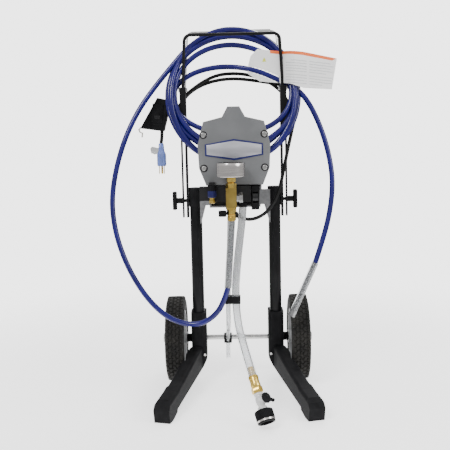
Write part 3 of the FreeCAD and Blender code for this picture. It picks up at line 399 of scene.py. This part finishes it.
def ring(work, centre, side, other, radius, count):
    """Vertices on a circle that two directions span."""
    return [work.verts.new(centre + (side * math.cos(2 * math.pi * k / count)
                                     + other * math.sin(2 * math.pi * k / count)) * radius)
            for k in range(count)]


def skin(work, rings, closed=False):
    """Faces between neighbouring rings, and from the last to the first when closed."""
    for a, b in zip(rings, rings[1:] + (rings[:1] if closed else [])):
        for k in range(len(a)):
            n = (k + 1) % len(a)
            work.faces.new((a[k], a[n], b[n], b[k]))


def tube_mesh(name, line, radius, bore=0.0, count=16):
    """A tube along a line; with a bore it is hollow and its ends are open."""
    work = bmesh.new()
    places = frames_along(line)
    outer = [ring(work, p, side, other, radius, count) for p, side, other in places]
    if bore:
        inner = [ring(work, p, side, other, bore, count) for p, side, other in reversed(places)]
        skin(work, outer + inner, closed=True)
    else:
        skin(work, outer)
        work.faces.new(outer[0])
        work.faces.new(outer[-1])
    return to_mesh(name, work)


def mm(profile):
    return [(radius / 1000, along / 1000) for radius, along in profile]


def turned(work, profile, origin, axis, count=48, closed=False):
    """Adds the surface that a profile of (radius, distance along the axis) makes as it turns."""
    axis = Vector(axis).normalized()
    side = axis.orthogonal().normalized()
    other = axis.cross(side)
    rings = []
    for radius, along in profile:
        rings.append(ring(work, Vector(origin) + axis * along, side, other, max(radius, 1e-5), count))
    skin(work, rings, closed=closed)
    if not closed:
        work.faces.new(rings[0])
        work.faces.new(rings[-1])


def turned_mesh(name, profile, origin, axis, count=48, closed=False):
    """A turned surface on its own, from a profile in mm."""
    work = bmesh.new()
    turned(work, mm(profile), origin, axis, count, closed)
    return to_mesh(name, work)


def block(work, corners, direction, depth):
    """Adds a prism: a flat outline pushed along a direction."""
    low = [work.verts.new(c) for c in corners]
    high = [work.verts.new(Vector(c) + Vector(direction) * depth) for c in corners]
    work.faces.new(low)
    work.faces.new(high)
    skin(work, [low, high])


def soften(work, width):
    """Bevels every sharp edge, with a width in metres."""
    bmesh.ops.recalc_face_normals(work, faces=work.faces[:])
    edges = [e for e in work.edges if len(e.link_faces) == 2 and e.calc_face_angle(0) > 0.6]
    bmesh.ops.bevel(work, geom=edges, offset=width, segments=2, profile=0.5, affect="EDGES",
                    clamp_overlap=True)


# ---------------------------------------------------------------- hose, cords and tubes

# Routes in mm: the pressure hose from its coil to the pump and to its free end, the mains cord's
# rise to its coil, and both clear tubes.
HOSE_A = [(-143, -16, 745), (-176, -26, 706), (-214, -40, 655), (-246, -56, 592), (-268, -72, 522),
          (-279, -88, 450), (-272, -101, 382), (-251, -112, 316), (-222, -125, 262), (-190, -136, 220),
          (-155, -146, 191), (-116, -154, 177), (-79, -160, 178), (-48, -166, 199), (-29, -170, 229),
          (-19, -171.5, 262)]
HOSE_B = [(150, -27, 703), (176, -36, 655), (200, -47, 600), (216, -58, 541), (223, -69, 482),
          (216, -81, 420), (200, -93, 360), (178, -104, 300)]
POWER_CORD = [(2, -104, 413), (18, -104, 403), (38, -100, 401), (58, -92, 407), (76, -80, 419),
              (92, -66, 440), (104, -58, 470), (113, -55, 510), (122, -52, 552), (132, -44, 592),
              (141, -30, 626), (148, -10, 654), (146, 6, 680), (134, 15, 700)]
CORD_TO_BOX = [(-112, 12, 686), (-123, 13, 664), (-134, 14, 649), (-142, 14, 643), (-148, 14, 642)]
SUCTION = [(17, -134, 434), (14, -137, 400), (7, -143, 350), (1, -148, 300), (-3, -149.5, 250),
           (-1.5, -152.5, 205), (3, -165, 170), (10, -190, 147), (18, -224, 126), (24.9, -249.3, 107.3),
           (31, -263, 88.5)]
DRAIN = [(-12, -134, 446), (-12.5, -135, 412), (-14.5, -139, 362), (-16.5, -144, 312),
         (-18.5, -148, 262), (-19.5, -147.5, 214), (-20, -128, 174), (-20.5, -92, 151),
         (-21.5, -54, 136), (-22.5, -26, 116), (-23.5, -14.5, 92), (-23.5, -10, 71), (-23.5, -7, 52)]

# Each turn of the hose, in mm: how far right, up, left and down it reaches, each with how
# far behind the coil's middle plane it lies there.
HOSE_TURNS = [((150, -4), (747, 4), (141, 6), (591, 0)),
              ((136, -7), (798, -2), (136, -7), (558, -4)),
              ((148, -7), (818, -7), (149, -6), (549, 9)),
              ((141, 6), (824, 6), (153, 6), (525, 0)),
              ((153, 6), (836, 1), (143, -15), (524, 14)),
              ((143, -17), (834, -10), (150, -6), (525, 0))]
CORD_TURNS = [((138, 2), (721, 2), (130, 2), (556, 2)),
              ((134, -2), (733, -4), (132, -4), (552, 0))]
COIL_STEPS = 16             # points of the route in one turn
THROUGH_TAG = [(152, -28, 687), (129, -17.4, 701), (106, -15.8, 713), (57, -22, 735)]


def blend_turn(turns, at):
    """The four reaches and the depth at a place counted in turns, between the named ones."""
    names = [entry for turn in turns for entry in turn]
    quarter = at * 4
    found = []
    for corner in range(4):
        index = (quarter - corner) / 4
        low = max(math.floor(index), 0)
        high = min(low + 1, len(turns) - 1)
        share = min(max(index - low, 0), 1)
        found.append(names[low * 4 + corner][0] * (1 - share) + names[high * 4 + corner][0] * share)
    first = min(math.floor(quarter), len(names) - 2)
    share = quarter - first
    depth = names[first][1] * (1 - share) + names[first + 1][1] * share
    return (*found, depth)


def coil(turns, start, end, lean):
    """Points of a loose coil seen from the front, anticlockwise, from start to end in turns.

    lean gives the y of the coil's middle plane at a height."""
    points = []
    for k in range(math.ceil(start * COIL_STEPS), math.floor(end * COIL_STEPS) + 1):
        at = k / COIL_STEPS
        right, top, left, bottom, depth = blend_turn(turns, at)
        angle = 2 * math.pi * at
        wide = right if math.cos(angle) > 0 else left
        z = (top + bottom) / 2 + (top - bottom) / 2 * math.sin(angle)
        points.append((wide * math.cos(angle), lean(z) + depth, z))
    return points


def hose_lean(z):
    """The hose coil leans back with the rear wire."""
    return -30.5 + 0.3 * (z - 680.5)


def cord_lean(z):
    """The cord coil hangs upright."""
    return 14


def hose_route():
    """From the free end up, through the slot in the tag, round the coil and down to the pump."""
    turns = coil(HOSE_TURNS, 0.2, 5.4, hose_lean)
    return list(reversed(HOSE_B[1:])) + THROUGH_TAG + turns + HOSE_A


def make_hose(finishes):
    """The pressure hose: from its free end, round its coil, to the pump's outlet."""
    line = line_of([spot(*p) for p in hose_route()])
    line.reverse()
    mesh = tube_mesh("pressure_hose", line, 0.006, count=18)
    hose = piece("pressure_hose", mesh, finishes["hose_blue"], None)
    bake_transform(hose)
    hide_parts("hose_coil", "hose_tail_a", "hose_tail_b")
    return line


def make_power_cord(finishes):
    """The mains cord: up from the pump, round its coil and into the ground-fault box."""
    turns = coil(CORD_TURNS, 0.13, 1.32, cord_lean)
    line = line_of([spot(*p) for p in POWER_CORD + turns + CORD_TO_BOX])
    mesh = tube_mesh("mains_cord", line, 0.004, count=14)
    cord = piece("mains_cord", mesh, finishes["cord_black"], None)
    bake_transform(cord)
    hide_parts("cord_coil", "power_cord")
    ([frame["nodes"][n] for n in ("gfci_box", "gfci_test_button",
                                                     "gfci_reset_button", "plug_cable")]
            + make_plug(finishes) + make_box_details(finishes))


def make_clear_tube(name, route, radius, wall, node, finishes, with_pieces):
    """A clear hose that stands for a CAD node, hanging from the pump."""
    line = line_of([spot(*p) for p in route])
    mesh = tube_mesh(name, line, radius, radius - wall, count=24)
    tube = piece(name, mesh, finishes["clear_tube"], "root")
    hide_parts(node)


def make_cords(finishes):
    """The hose, the power cord and both clear tubes; returns the hose's line."""
    hose = make_hose(finishes)
    make_power_cord(finishes)
    make_clear_tube("suction_tube", SUCTION, 0.0085, 0.002, "suction_hose", finishes,
                    make_suction_end(finishes))
    make_clear_tube("bypass_tube", DRAIN, 0.005, 0.0013, "drain_tube", finishes, [])
    return hose


# ---------------------------------------------------------------- wheels

LUGS = 44                   # lugs of the tread in one turn
LUG_WIDTH = 8.4             # a row of lugs, in mm
LUG_HEIGHT = 2.6            # in mm
TREAD_FROM = 97.5           # the tread lies outside this radius, in mm


def side_name(side):
    return "right" if side > 0 else "left"


def tread_height(turn, across):
    """Height in mm of the staggered lugs, at a share of a turn and mm across from the middle."""
    zigzag = abs((turn * LUGS) % 1 - 0.5) * 2
    row = (across + 21) / LUG_WIDTH + 0.42 * (zigzag - 0.5)
    beside = abs(row % 1 - 0.5)
    along = (turn * LUGS + 0.5 * (math.floor(row) % 2)) % 1
    if beside > 0.4 or along < 0.17:
        return 0.0
    return LUG_HEIGHT


def shoulder_height(turn):
    """Height in mm of the ribs on a tyre's shoulders."""
    return 1.1 if (turn * LUGS) % 1 > 0.35 else 0.0


def make_tyre(side, finishes):
    """Treaded tyre, as one closed skin turned round the axle."""
    name = side_name(side)
    steps = 8 * LUGS
    flank = [(68.4, 14), (68.6, 17.5), (71, 20.5), (76, 22), (84, 22.4), (91, 21.8), (95.5, 20.4)]
    tread = [(98.9 - 0.7 * (across / 19) ** 4, across) for across in
             [-19.4 + 38.8 * k / 34 for k in range(35)]]
    row = [(r, -a) for r, a in flank] + tread + [(r, a) for r, a in reversed(flank)]
    centre = spot(side * WHEEL_X, 0, WHEEL_Z)
    work = bmesh.new()
    rings = []
    for k in range(steps):
        turn = k / steps
        angle = 2 * math.pi * turn
        out = Y * math.sin(angle) + Z * math.cos(angle)
        points = []
        for radius, across in row:
            lift = 0.0
            if radius > TREAD_FROM:
                lift = tread_height(turn, across)
            elif radius > 90:
                lift = shoulder_height(turn)
            points.append(work.verts.new(centre + X * across / 1000 + out * (radius + lift) / 1000))
        rings.append(points)
    skin(work, rings, closed=True)
    tyre = piece(name + "_treaded_tyre", to_mesh(name + "_treaded_tyre", work), finishes["tyre_rubber"],
                 name + "_wheel")
    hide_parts(name + "_tyre")


def make_wheel_details(side, finishes):
    """Steel bearing ring and valve stem on the outside of a rim."""
    name = side_name(side)
    outer = X * side
    bearing = turned_mesh(name + "_bearing_ring", [(12.4, -2), (12.4, 1.4), (14, 1.6), (15.6, 1.4),
                                                   (15.6, -2)],
                          spot(side * (WHEEL_X + 23.9), 0, WHEEL_Z), outer, 32, closed=True)
    piece(name + "_bearing_ring", bearing, finishes["zinc_steel"], name + "_wheel")
    stem = turned_mesh(name + "_valve_stem", [(3.4, -6), (3.4, 4), (2.6, 6), (2.6, 11), (3, 11.2),
                                              (3, 14.5), (2.4, 15)],
                       spot(side * (WHEEL_X + 10.5), 0, WHEEL_Z + 57), outer - Z * 0.35, 16)
    piece(name + "_valve_stem", stem, finishes["black_plastic"], name + "_wheel")


# ---------------------------------------------------------------- badge, gauge and controls


def make_badge(finishes):
    """A plain badge: a dark blue rim round a silver field, long, with a low point above and below."""
    def outline(wide, shoulder, tip):
        corners = [(0, tip), (wide, shoulder), (wide, -shoulder), (0, -tip), (-wide, -shoulder),
                   (-wide, shoulder)]
        return [spot(x, COVER_FRONT + 0.2, 559.5 + z) for x, z in corners]
    for name, wide, shoulder, tip, thick, key in (("badge_rim", 63, 12.5, 23, 1.4, "badge_blue"),
                                                  ("badge_field", 59.5, 10, 19, 2.0, "badge_silver")):
        work = bmesh.new()
        block(work, outline(wide, shoulder, tip), -Y, thick / 1000)
        soften(work, 0.0005)
        piece(name, to_mesh(name, work), finishes[key], "root")


def dial_direction(share):
    """Outwards on the dial, at a share of its 270 degrees."""
    angle = math.radians(225 - 270 * share)
    return X * math.cos(angle) + Y * math.sin(angle)


def make_number(text, place, size, made, body):
    """A number lying on the dial."""
    letters = bpy.data.curves.new("number", "FONT")
    letters.body = text
    letters.size = size
    letters.align_x = "CENTER"
    letters.align_y = "CENTER"
    letters.extrude = 0.00008
    holder = bpy.data.objects.new("number", letters)
    mesh = bpy.data.meshes.new_from_object(holder)
    bpy.data.objects.remove(holder)
    bpy.data.curves.remove(letters)
    mesh.transform(Matrix.Translation(place))
    piece("dial_number_" + text, mesh, made, body, smooth=False)


def make_gauge_face(finishes):
    """Dial with ticks and numbers under a lens, and the bezel and dark seal that hold the lens."""
    x, y = STACK_X, STACK_Y
    well, tick_end, number_ring = 523.1, 25.6, 16.5     # floor of the gauge's well, and two radii
    dial = turned_mesh("gauge_dial", [(27, 0), (27, 0.5)], spot(x, y, well), Z, 64)
    piece("gauge_dial", dial, finishes["dial_white"], "root")
    ticks = bmesh.new()
    for k in range(51):
        out = dial_direction(k / 50)
        across = Z.cross(out)
        long, half = (5, 0.4) if k % 5 == 0 else (2.6, 0.2)
        corners = [spot(x, y, well + 0.4) + (out * r + across * w) / 1000
                   for r, w in ((tick_end, -half), (tick_end, half), (tick_end - long, half),
                                (tick_end - long, -half))]
        block(ticks, corners, Z, 0.0003)
    piece("dial_ticks", to_mesh("dial_ticks", ticks), finishes["needle_black"], "root", smooth=False)
    for k in range(6):
        place = spot(x, y, well + 0.6) + dial_direction(k / 5) * number_ring / 1000
        make_number(str(k), place, 0.0056, finishes["needle_black"], "root")
    lens = turned_mesh("gauge_lens", [(27.4, 0), (27.4, 1.5)], spot(x, y, 528), Z, 64)
    piece("gauge_lens", lens, finishes["lens"], "root")
    bezel = turned_mesh("gauge_bezel", [(30.9, -6), (30.9, 0.8), (30.2, 1.8), (28.6, 2), (27.2, 0.8),
                                        (27.2, -0.6), (29, -2), (29, -6)],
                        spot(x, y, 531), Z, 64, closed=True)
    piece("gauge_bezel", bezel, finishes["gauge_steel"], "root")
    seal = turned_mesh("gauge_seal", [(29, 0), (29, 1.6), (27.8, 1.9), (26.4, 1.2), (26.4, 0)],
                       spot(x, y, 531.4), Z, 64, closed=True)
    piece("gauge_seal", seal, finishes["needle_black"], "root")


def make_control_details(finishes):
    """Navy grip, black hood and brass collar of the priming knob, and ribs on the bleed knob."""
    collar = turned_mesh("prime_collar", [(3.2, 0), (5.6, 0), (6.6, 0.8), (6.6, 7), (5.7, 7.8), (5.7, 12),
                                          (3.2, 12)], spot(PRIME_X, PRIME_Y, 445), Z, 32, closed=True)
    piece("prime_collar", collar, finishes["brass"], "prime_valve")
    work = bmesh.new()
    turned(work, mm([(3.2, 0), (7.4, 0), (8.6, 1), (9, 2.4), (9, 15), (3.2, 15)]),
           spot(PRIME_X, PRIME_Y, 457), Z, 40, closed=True)
    for k in range(12):
        angle = math.radians(30 * k + 15)
        turned(work, mm([(0.6, 1.6), (0.9, 2.6), (0.9, 15)]),
               spot(PRIME_X + 8.7 * math.cos(angle), PRIME_Y + 8.7 * math.sin(angle), 457), Z, 8)
    grip = piece("prime_grip", to_mesh("prime_grip", work), finishes["knob_blue"], "prime_valve")
    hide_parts("prime_knob")
    hood = turned_mesh("prime_hood", [(3.2, 0), (9.1, 0), (9.1, 8), (7.6, 11.6), (3.2, 11.9)],
                       spot(PRIME_X, PRIME_Y, 472), Z, 40, closed=True)
    piece("prime_hood", hood, finishes["black_plastic"], "prime_valve")
    ribs = bmesh.new()
    for k in range(14):
        angle = 2 * math.pi * k / 14
        turned(ribs, mm([(0.5, 0), (0.8, 0.8), (0.8, 13), (0.5, 13.8)]),
               spot(-34.5, STACK_Y + 6.4 * math.cos(angle), 424 + 6.4 * math.sin(angle)), X, 8)
    piece("bleed_ribs", to_mesh("bleed_ribs", ribs), finishes["black_plastic"], "bleed_valve")


def make_cover_details(finishes):
    """Dark rings round the cover's screws: painted shade for the recesses that the screws sit in."""
    painted_shade_rings = bmesh.new()
    # The dark rings are painted shade: they stand in for the shadow in the recess round each screw.
    for x in (-66, 66):
        for z in (520, 592):
            turned(painted_shade_rings, mm([(5.7, 0.1), (7.6, 0.1), (8.4, 0.5), (7.6, 0.9), (5.7, 0.5)]),
                   spot(x, COVER_FRONT + 0.1, z), -Y, 32, closed=True)
    piece("screw_painted_shade_rings", to_mesh("screw_painted_shade_rings", painted_shade_rings), finishes["motor_black"], "root")


def make_stack_details(finishes):
    """Hexagons, threads and a collar on the brass fittings above and below the block."""
    work = bmesh.new()
    base = spot(STACK_X, STACK_Y, 0)
    turned(work, mm([(8.6, 491), (10.2, 492), (10.2, 501.6), (8.8, 502.8)]), base, Z, 6)
    for k in range(3):
        turned(work, mm([(7.4, 489.2 + 0.9 * k), (8, 489.6 + 0.9 * k), (7.4, 490 + 0.9 * k)]), base, Z, 32)
    turned(work, mm([(8, 420), (9.4, 420.8), (9.4, 422.6), (8, 423.4)]), base, Z, 32)
    turned(work, mm([(8, 409), (10, 410), (10, 416.6), (8, 417.6)]), base, Z, 6)
    piece("stack_details", to_mesh("stack_details", work), finishes["brass"], "root")


def make_gland(finishes):
    """Ribbed strain relief where the power cord leaves the pump."""
    start = spot(*POWER_CORD[0])
    ahead = (spot(*POWER_CORD[1]) - start).normalized()
    ribs = [(4.2, 0)]
    for k in range(6):
        base = 1 + 3.2 * k
        wide = 6.2 - 0.28 * k
        ribs += [(wide, base), (wide, base + 1.8), (wide - 1.1, base + 2), (wide - 1.1, base + 3)]
    ribs += [(4.2, 20.4)]
    relief = turned_mesh("cord_strain_relief", ribs, start - ahead * 0.001, ahead, 24)
    piece("cord_strain_relief", relief, finishes["black_plastic"], "root")


def make_hanger_sleeve(finishes):
    """Grey sleeve on the top of the rear wire."""
    line = [spot(x, 38, 829) for x in (38, 40, 64, 89, 91)]
    mesh = tube_mesh("hanger_sleeve", line, 0.0055, 0.0036, 24)
    piece("hanger_sleeve", mesh, finishes["grip_grey"], "upper_frame")


# ---------------------------------------------------------------- plug and ground-fault box


def make_plug(finishes):
    """A see-through plug: a narrow strain relief, a wide grip and a tab at its side."""
    work = bmesh.new()
    x, y = PLUG_X, PLUG_Y
    levels = [(573, 4.6, 4.6), (571, 6, 6), (556, 7, 7), (552, 8.4, 8), (547, 10.6, 9.5), (524, 10.8, 10),
              (519.5, 9.8, 9)]
    rings = []
    for z, wide, deep in levels:
        rings.append([work.verts.new(spot(x + wide * math.copysign(abs(math.cos(a)) ** 0.6, math.cos(a)),
                                          y + deep * math.copysign(abs(math.sin(a)) ** 0.6, math.sin(a)),
                                          z)) for a in [2 * math.pi * k / 28 for k in range(28)]])
    skin(work, rings)
    work.faces.new(rings[0])
    work.faces.new(rings[-1])
    body = piece("plug_grip", to_mesh("plug_grip", work), finishes["plug_blue"], "root")
    work = bmesh.new()
    corners = [spot(a, 6, z) for a, z in ((-178, 562), (-194, 566), (-198, 561), (-196, 550), (-188, 547),
                                          (-178, 549))]
    block(work, corners, Y, 0.006)
    soften(work, 0.001)
    tab = piece("plug_tab", to_mesh("plug_tab", work), finishes["sleeve_clear"], "root")
    work = bmesh.new()
    for a in (-178.5, -167):
        corners = [spot(a, 4.5, 523), spot(a + 1.5, 4.5, 523), spot(a + 1.5, 4.5, 502.5),
                   spot(a + 1.1, 4.5, 501), spot(a + 0.4, 4.5, 501), spot(a, 4.5, 502.5)]
        block(work, corners, Y, 0.0065)
    turned(work, mm([(2.4, 0), (2.4, 20), (1.6, 22), (0.6, 23)]), spot(x, 15.5, 523), -Z, 16)
    turned(work, mm([(3.5, 0), (3.5, 22)]), spot(x, y, 548), -Z, 16)
    blades = piece("plug_blades", to_mesh("plug_blades", work), finishes["brass"], "root")
    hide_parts("plug")
    return [body, tab, blades]


def make_box_details(finishes):
    """Hook under the ground-fault box, and the raised panel on its front."""
    work = bmesh.new()
    shape = [(-209, 612), (-219, 611), (-223.5, 606), (-221, 600), (-215.5, 598), (-216.5, 588.5)]
    for start, end in zip(shape, shape[1:]):
        along = (spot(end[0], 4, end[1]) - spot(start[0], 4, start[1])).normalized()
        across = along.cross(Y) * 0.0009
        a, b = spot(start[0], 4, start[1]) - along * 0.0006, spot(end[0], 4, end[1]) + along * 0.0006
        block(work, [a - across, b - across, b + across, a + across], Y, 0.012)
    hook = piece("gfci_hook", to_mesh("gfci_hook", work), finishes["hook_zinc"], "root", smooth=False)
    work = bmesh.new()
    corners = [spot(x, -12.4, z) for x, z in ((-186.5, 666), (-161.5, 662), (-165, 620), (-193, 622))]
    block(work, corners, -Y, 0.0014)
    soften(work, 0.0008)
    panel = piece("gfci_panel", to_mesh("gfci_panel", work), finishes["black_plastic"], "root")
    return [hook, panel]


# ---------------------------------------------------------------- tag

# The tag in mm, along its width: how far forward it lies, its top and bottom edge, and for each
# rule its height and the shares of its column where it starts and ends.
TAG_PATH = [(34, -19.9), (80, -22.2), (104, -22.8), (113, -23), (116, -26.5), (119, -33), (124, -41),
            (131, -48), (140, -51.5), (152, -51.5), (178, -45), (208, -37), (238, -29)]
TAG_TOP = [(34, 730), (37, 750), (42, 768), (58, 783), (90, 779), (160, 772), (238, 757)]
TAG_FOOT = [(34, 729), (62, 710), (128, 703), (160, 692), (226, 688), (238, 757)]
TAG_RULES = [(754, 0.14, 0.9), (748, 0.06, 0.97), (742, 0.06, 0.9), (736, 0.06, 0.97), (730, 0.06, 0.8),
             (722, 0.06, 0.97), (716, 0.06, 0.92), (710, 0.06, 0.97), (704, 0.1, 0.7)]
SLOT_HALF = 7.2             # half height of the slot that the hose passes through


def between(table, x):
    """The value at x in a table of (x, value) rows."""
    for (x0, v0), (x1, v1) in zip(table, table[1:]):
        if x <= x1:
            return v0 + (v1 - v0) * min(max((x - x0) / (x1 - x0), 0), 1)
    return table[-1][1]


def tag_ink(x, share, z):
    """Which ink shows at a place on the tag, share being its height from the tag's lower edge."""
    film, stripe, rule, sign = range(4)
    if share > 0.9 and x > 86:
        return stripe
    if 68 < x < 78 and 754 < z < 765 and abs(x - 73) < (765 - z) * 0.45:
        return sign
    droop = 0.11 * (x - 140)
    in_gutter = abs(x - 171) < 3
    for height, left, right in TAG_RULES:
        start, end = 114 + 120 * left, 130 + 104 * right
        if start < x < end and abs(z - (height - droop)) < 0.9 and share < 0.84 and not in_gutter:
            return rule
    return film


def make_tag(finishes, hose_line):
    """A film tag behind the handle wire, with a slot for the hose, a stripe and plain rules."""
    threaded = [(p.x * 1000, p.z * 1000) for p in hose_line if 30 < p.x * 1000 < 112
                and 700 < p.z * 1000 < 745 and p.y * 1000 - AXLE_BACK < -12]
    columns, rows = 136, 84
    first, last = TAG_PATH[0][0], TAG_PATH[-1][0]
    work = bmesh.new()
    grid = []
    for k in range(columns + 1):
        x = first + (last - first) * k / columns
        low, high = between(TAG_FOOT, x), between(TAG_TOP, x)
        grid.append([work.verts.new(spot(x, between(TAG_PATH, x), low + (high - low) * n / rows))
                     for n in range(rows + 1)])
    for k in range(columns):
        for n in range(rows):
            corners = (grid[k][n], grid[k + 1][n], grid[k + 1][n + 1], grid[k][n + 1])
            centre = sum((corner.co for corner in corners), Vector()) * 250
            gap = min(math.dist((centre.x, centre.z), place) for place in threaded)
            if 46 < centre.x < 107 and gap < SLOT_HALF:
                continue
            face = work.faces.new(corners)
            face.material_index = tag_ink(centre.x, (n + 0.5) / rows, centre.z)
    mesh = bpy.data.meshes.new("printed_tag")
    work.to_mesh(mesh)
    work.free()
    inks = [finishes[key] for key in ("tag_white", "tag_orange", "tag_grey", "tag_yellow")]
    tag = piece("printed_tag", mesh, inks, None)
    thick = tag.modifiers.new("film", "SOLIDIFY")
    thick.thickness = 0.0004
    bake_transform(tag)
    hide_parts("warning_tag")


# ---------------------------------------------------------------- suction end

# Where the clear hose ends, the direction from there through the valve to the coupling, and the
# direction across it that the lever's spindle points in.
SUCTION_FOOT = spot(*SUCTION[-1])
SUCTION_AXIS = Vector((0.25447, -0.56953, -0.78159))
LEVER_AXIS = Vector((0.62114, -0.5232, 0.58348))
VALVE_HUB = SUCTION_FOOT + SUCTION_AXIS * 0.05


def make_hose_tail(finishes):
    """Barbed brass tail inside the clear hose, the ferrule round it and a hexagon below."""
    barbs = [(3.4, -24), (5.4, -24)]
    for k in range(5):
        barbs += [(6.5, -19.4 + 4.6 * k), (5.5, -19.2 + 4.6 * k)]
    barbs += [(5.8, 4), (5.8, 22), (9, 22), (9, 33)]
    ferrule = [(8.6, -3.6), (10, -4), (10.5, -3.4), (10.5, 3), (9.9, 3.6), (9.9, 13), (10.5, 13.6),
               (10.5, 19), (9.8, 20.6), (8.6, 20.6)]
    work = bmesh.new()
    turned(work, mm(barbs), SUCTION_FOOT, SUCTION_AXIS, 32)
    turned(work, mm(ferrule), SUCTION_FOOT, SUCTION_AXIS, 40, closed=True)
    turned(work, mm([(11.2, 20.6), (12.2, 21.8), (12.2, 31.6), (11.2, 33)]), SUCTION_FOOT,
           SUCTION_AXIS, 6)
    return piece("brass_hose_tail", to_mesh("brass_hose_tail", work), finishes["brass"], "root")


def make_ball_valve(finishes):
    """Pale plastic body of the ball valve, with the boss that its lever turns on."""
    body = [(8.4, 33), (9.6, 34), (9.6, 38), (8, 39), (8, 41), (9.2, 43.5), (9.8, 47), (9.8, 53),
            (9.2, 56.5), (7.6, 59), (7.6, 62), (10, 63), (10, 68.8)]
    work = bmesh.new()
    turned(work, mm(body), SUCTION_FOOT, SUCTION_AXIS, 40)
    turned(work, mm([(7.3, 0), (7.3, 11), (6.4, 12.4), (6.4, 13)]), VALVE_HUB, LEVER_AXIS, 32)
    valve = piece("pale_ball_valve", to_mesh("pale_ball_valve", work), finishes["valve_white"], "root")
    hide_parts("inlet_valve")
    return valve


def make_lever(finishes):
    """Round black lever with a ribbed rim and a short arm."""
    arm = (X - LEVER_AXIS * LEVER_AXIS.x).normalized()
    across = LEVER_AXIS.cross(arm)
    base = VALVE_HUB + LEVER_AXIS * 0.0165
    work = bmesh.new()
    turned(work, mm([(6.5, 13.1), (7.4, 13.3), (7.4, 15.6), (9.8, 16), (10.6, 17), (10.6, 21),
                     (9.8, 22), (3, 22.3)]), VALVE_HUB, LEVER_AXIS, 40)
    corners = [base + (arm * a + across * b) / 1000
               for a, b in ((5, -3), (16, -2.4), (19, -3.6), (21.5, 0), (19, 3.6), (16, 2.4), (5, 3))]
    block(work, corners, LEVER_AXIS, 0.005)
    for k in range(12):
        angle = 2 * math.pi * k / 12
        away = arm * math.cos(angle) + across * math.sin(angle)
        turned(work, mm([(1.1, 17), (1.1, 21)]), VALVE_HUB + away * 0.0105, LEVER_AXIS, 8)
    lever = piece("round_lever", to_mesh("round_lever", work), finishes["black_plastic"], "inlet_lever")
    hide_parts("valve_lever")


def make_coupling(finishes):
    """Ribbed swivel nut for a garden hose, with its steel band and its washer."""
    side = SUCTION_AXIS.orthogonal().normalized()
    other = SUCTION_AXIS.cross(side)
    shell = [(13.3, 96.1), (13.3, 75), (9, 74), (9, 69.1), (16, 69.1), (18.6, 70.6), (18.6, 95.4),
             (17.9, 96.1)]
    work = bmesh.new()
    turned(work, mm(shell), SUCTION_FOOT, SUCTION_AXIS, 72, closed=True)
    for k in range(36):
        angle = 2 * math.pi * k / 36
        away = side * math.cos(angle) + other * math.sin(angle)
        turned(work, mm([(0.7, 72), (1.1, 73), (1.1, 88), (0.7, 89)]), SUCTION_FOOT + away * 0.0184,
               SUCTION_AXIS, 8)
    nut = piece("ribbed_coupling", to_mesh("ribbed_coupling", work), finishes["black_plastic"],
                "inlet_coupling")
    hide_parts("coupling_nut")
    band = turned_mesh("coupling_band", [(18.5, 90), (19.4, 90.2), (19.4, 93.6), (18.5, 93.8)],
                       SUCTION_FOOT, SUCTION_AXIS, 72, closed=True)
    piece("coupling_band", band, finishes["gauge_steel"], "inlet_coupling")
    washer = turned_mesh("coupling_washer", [(9, 74.1), (13.2, 74.1), (13.2, 76.4), (9, 76.4)],
                         SUCTION_FOOT, SUCTION_AXIS, 48, closed=True)
    piece("coupling_washer", washer, finishes["cord_black"], "inlet_coupling")


def make_suction_end(finishes):
    """Everything below the clear suction hose; returns the pieces that hang on it."""
    on_hose = [make_hose_tail(finishes), make_ball_valve(finishes)]
    make_lever(finishes)
    make_coupling(finishes)
    return on_hose


# ---------------------------------------------------------------- making

make_camera()
make_studio()
make_floor()
finishes = make_finishes()
finish_frame(finishes)
hose_line = make_cords(finishes)
for side in (-1, 1):
    make_tyre(side, finishes)
    make_wheel_details(side, finishes)
make_badge(finishes)
make_gauge_face(finishes)
make_control_details(finishes)
make_cover_details(finishes)
make_stack_details(finishes)
make_gland(finishes)
make_hanger_sleeve(finishes)
make_tag(finishes, hose_line)
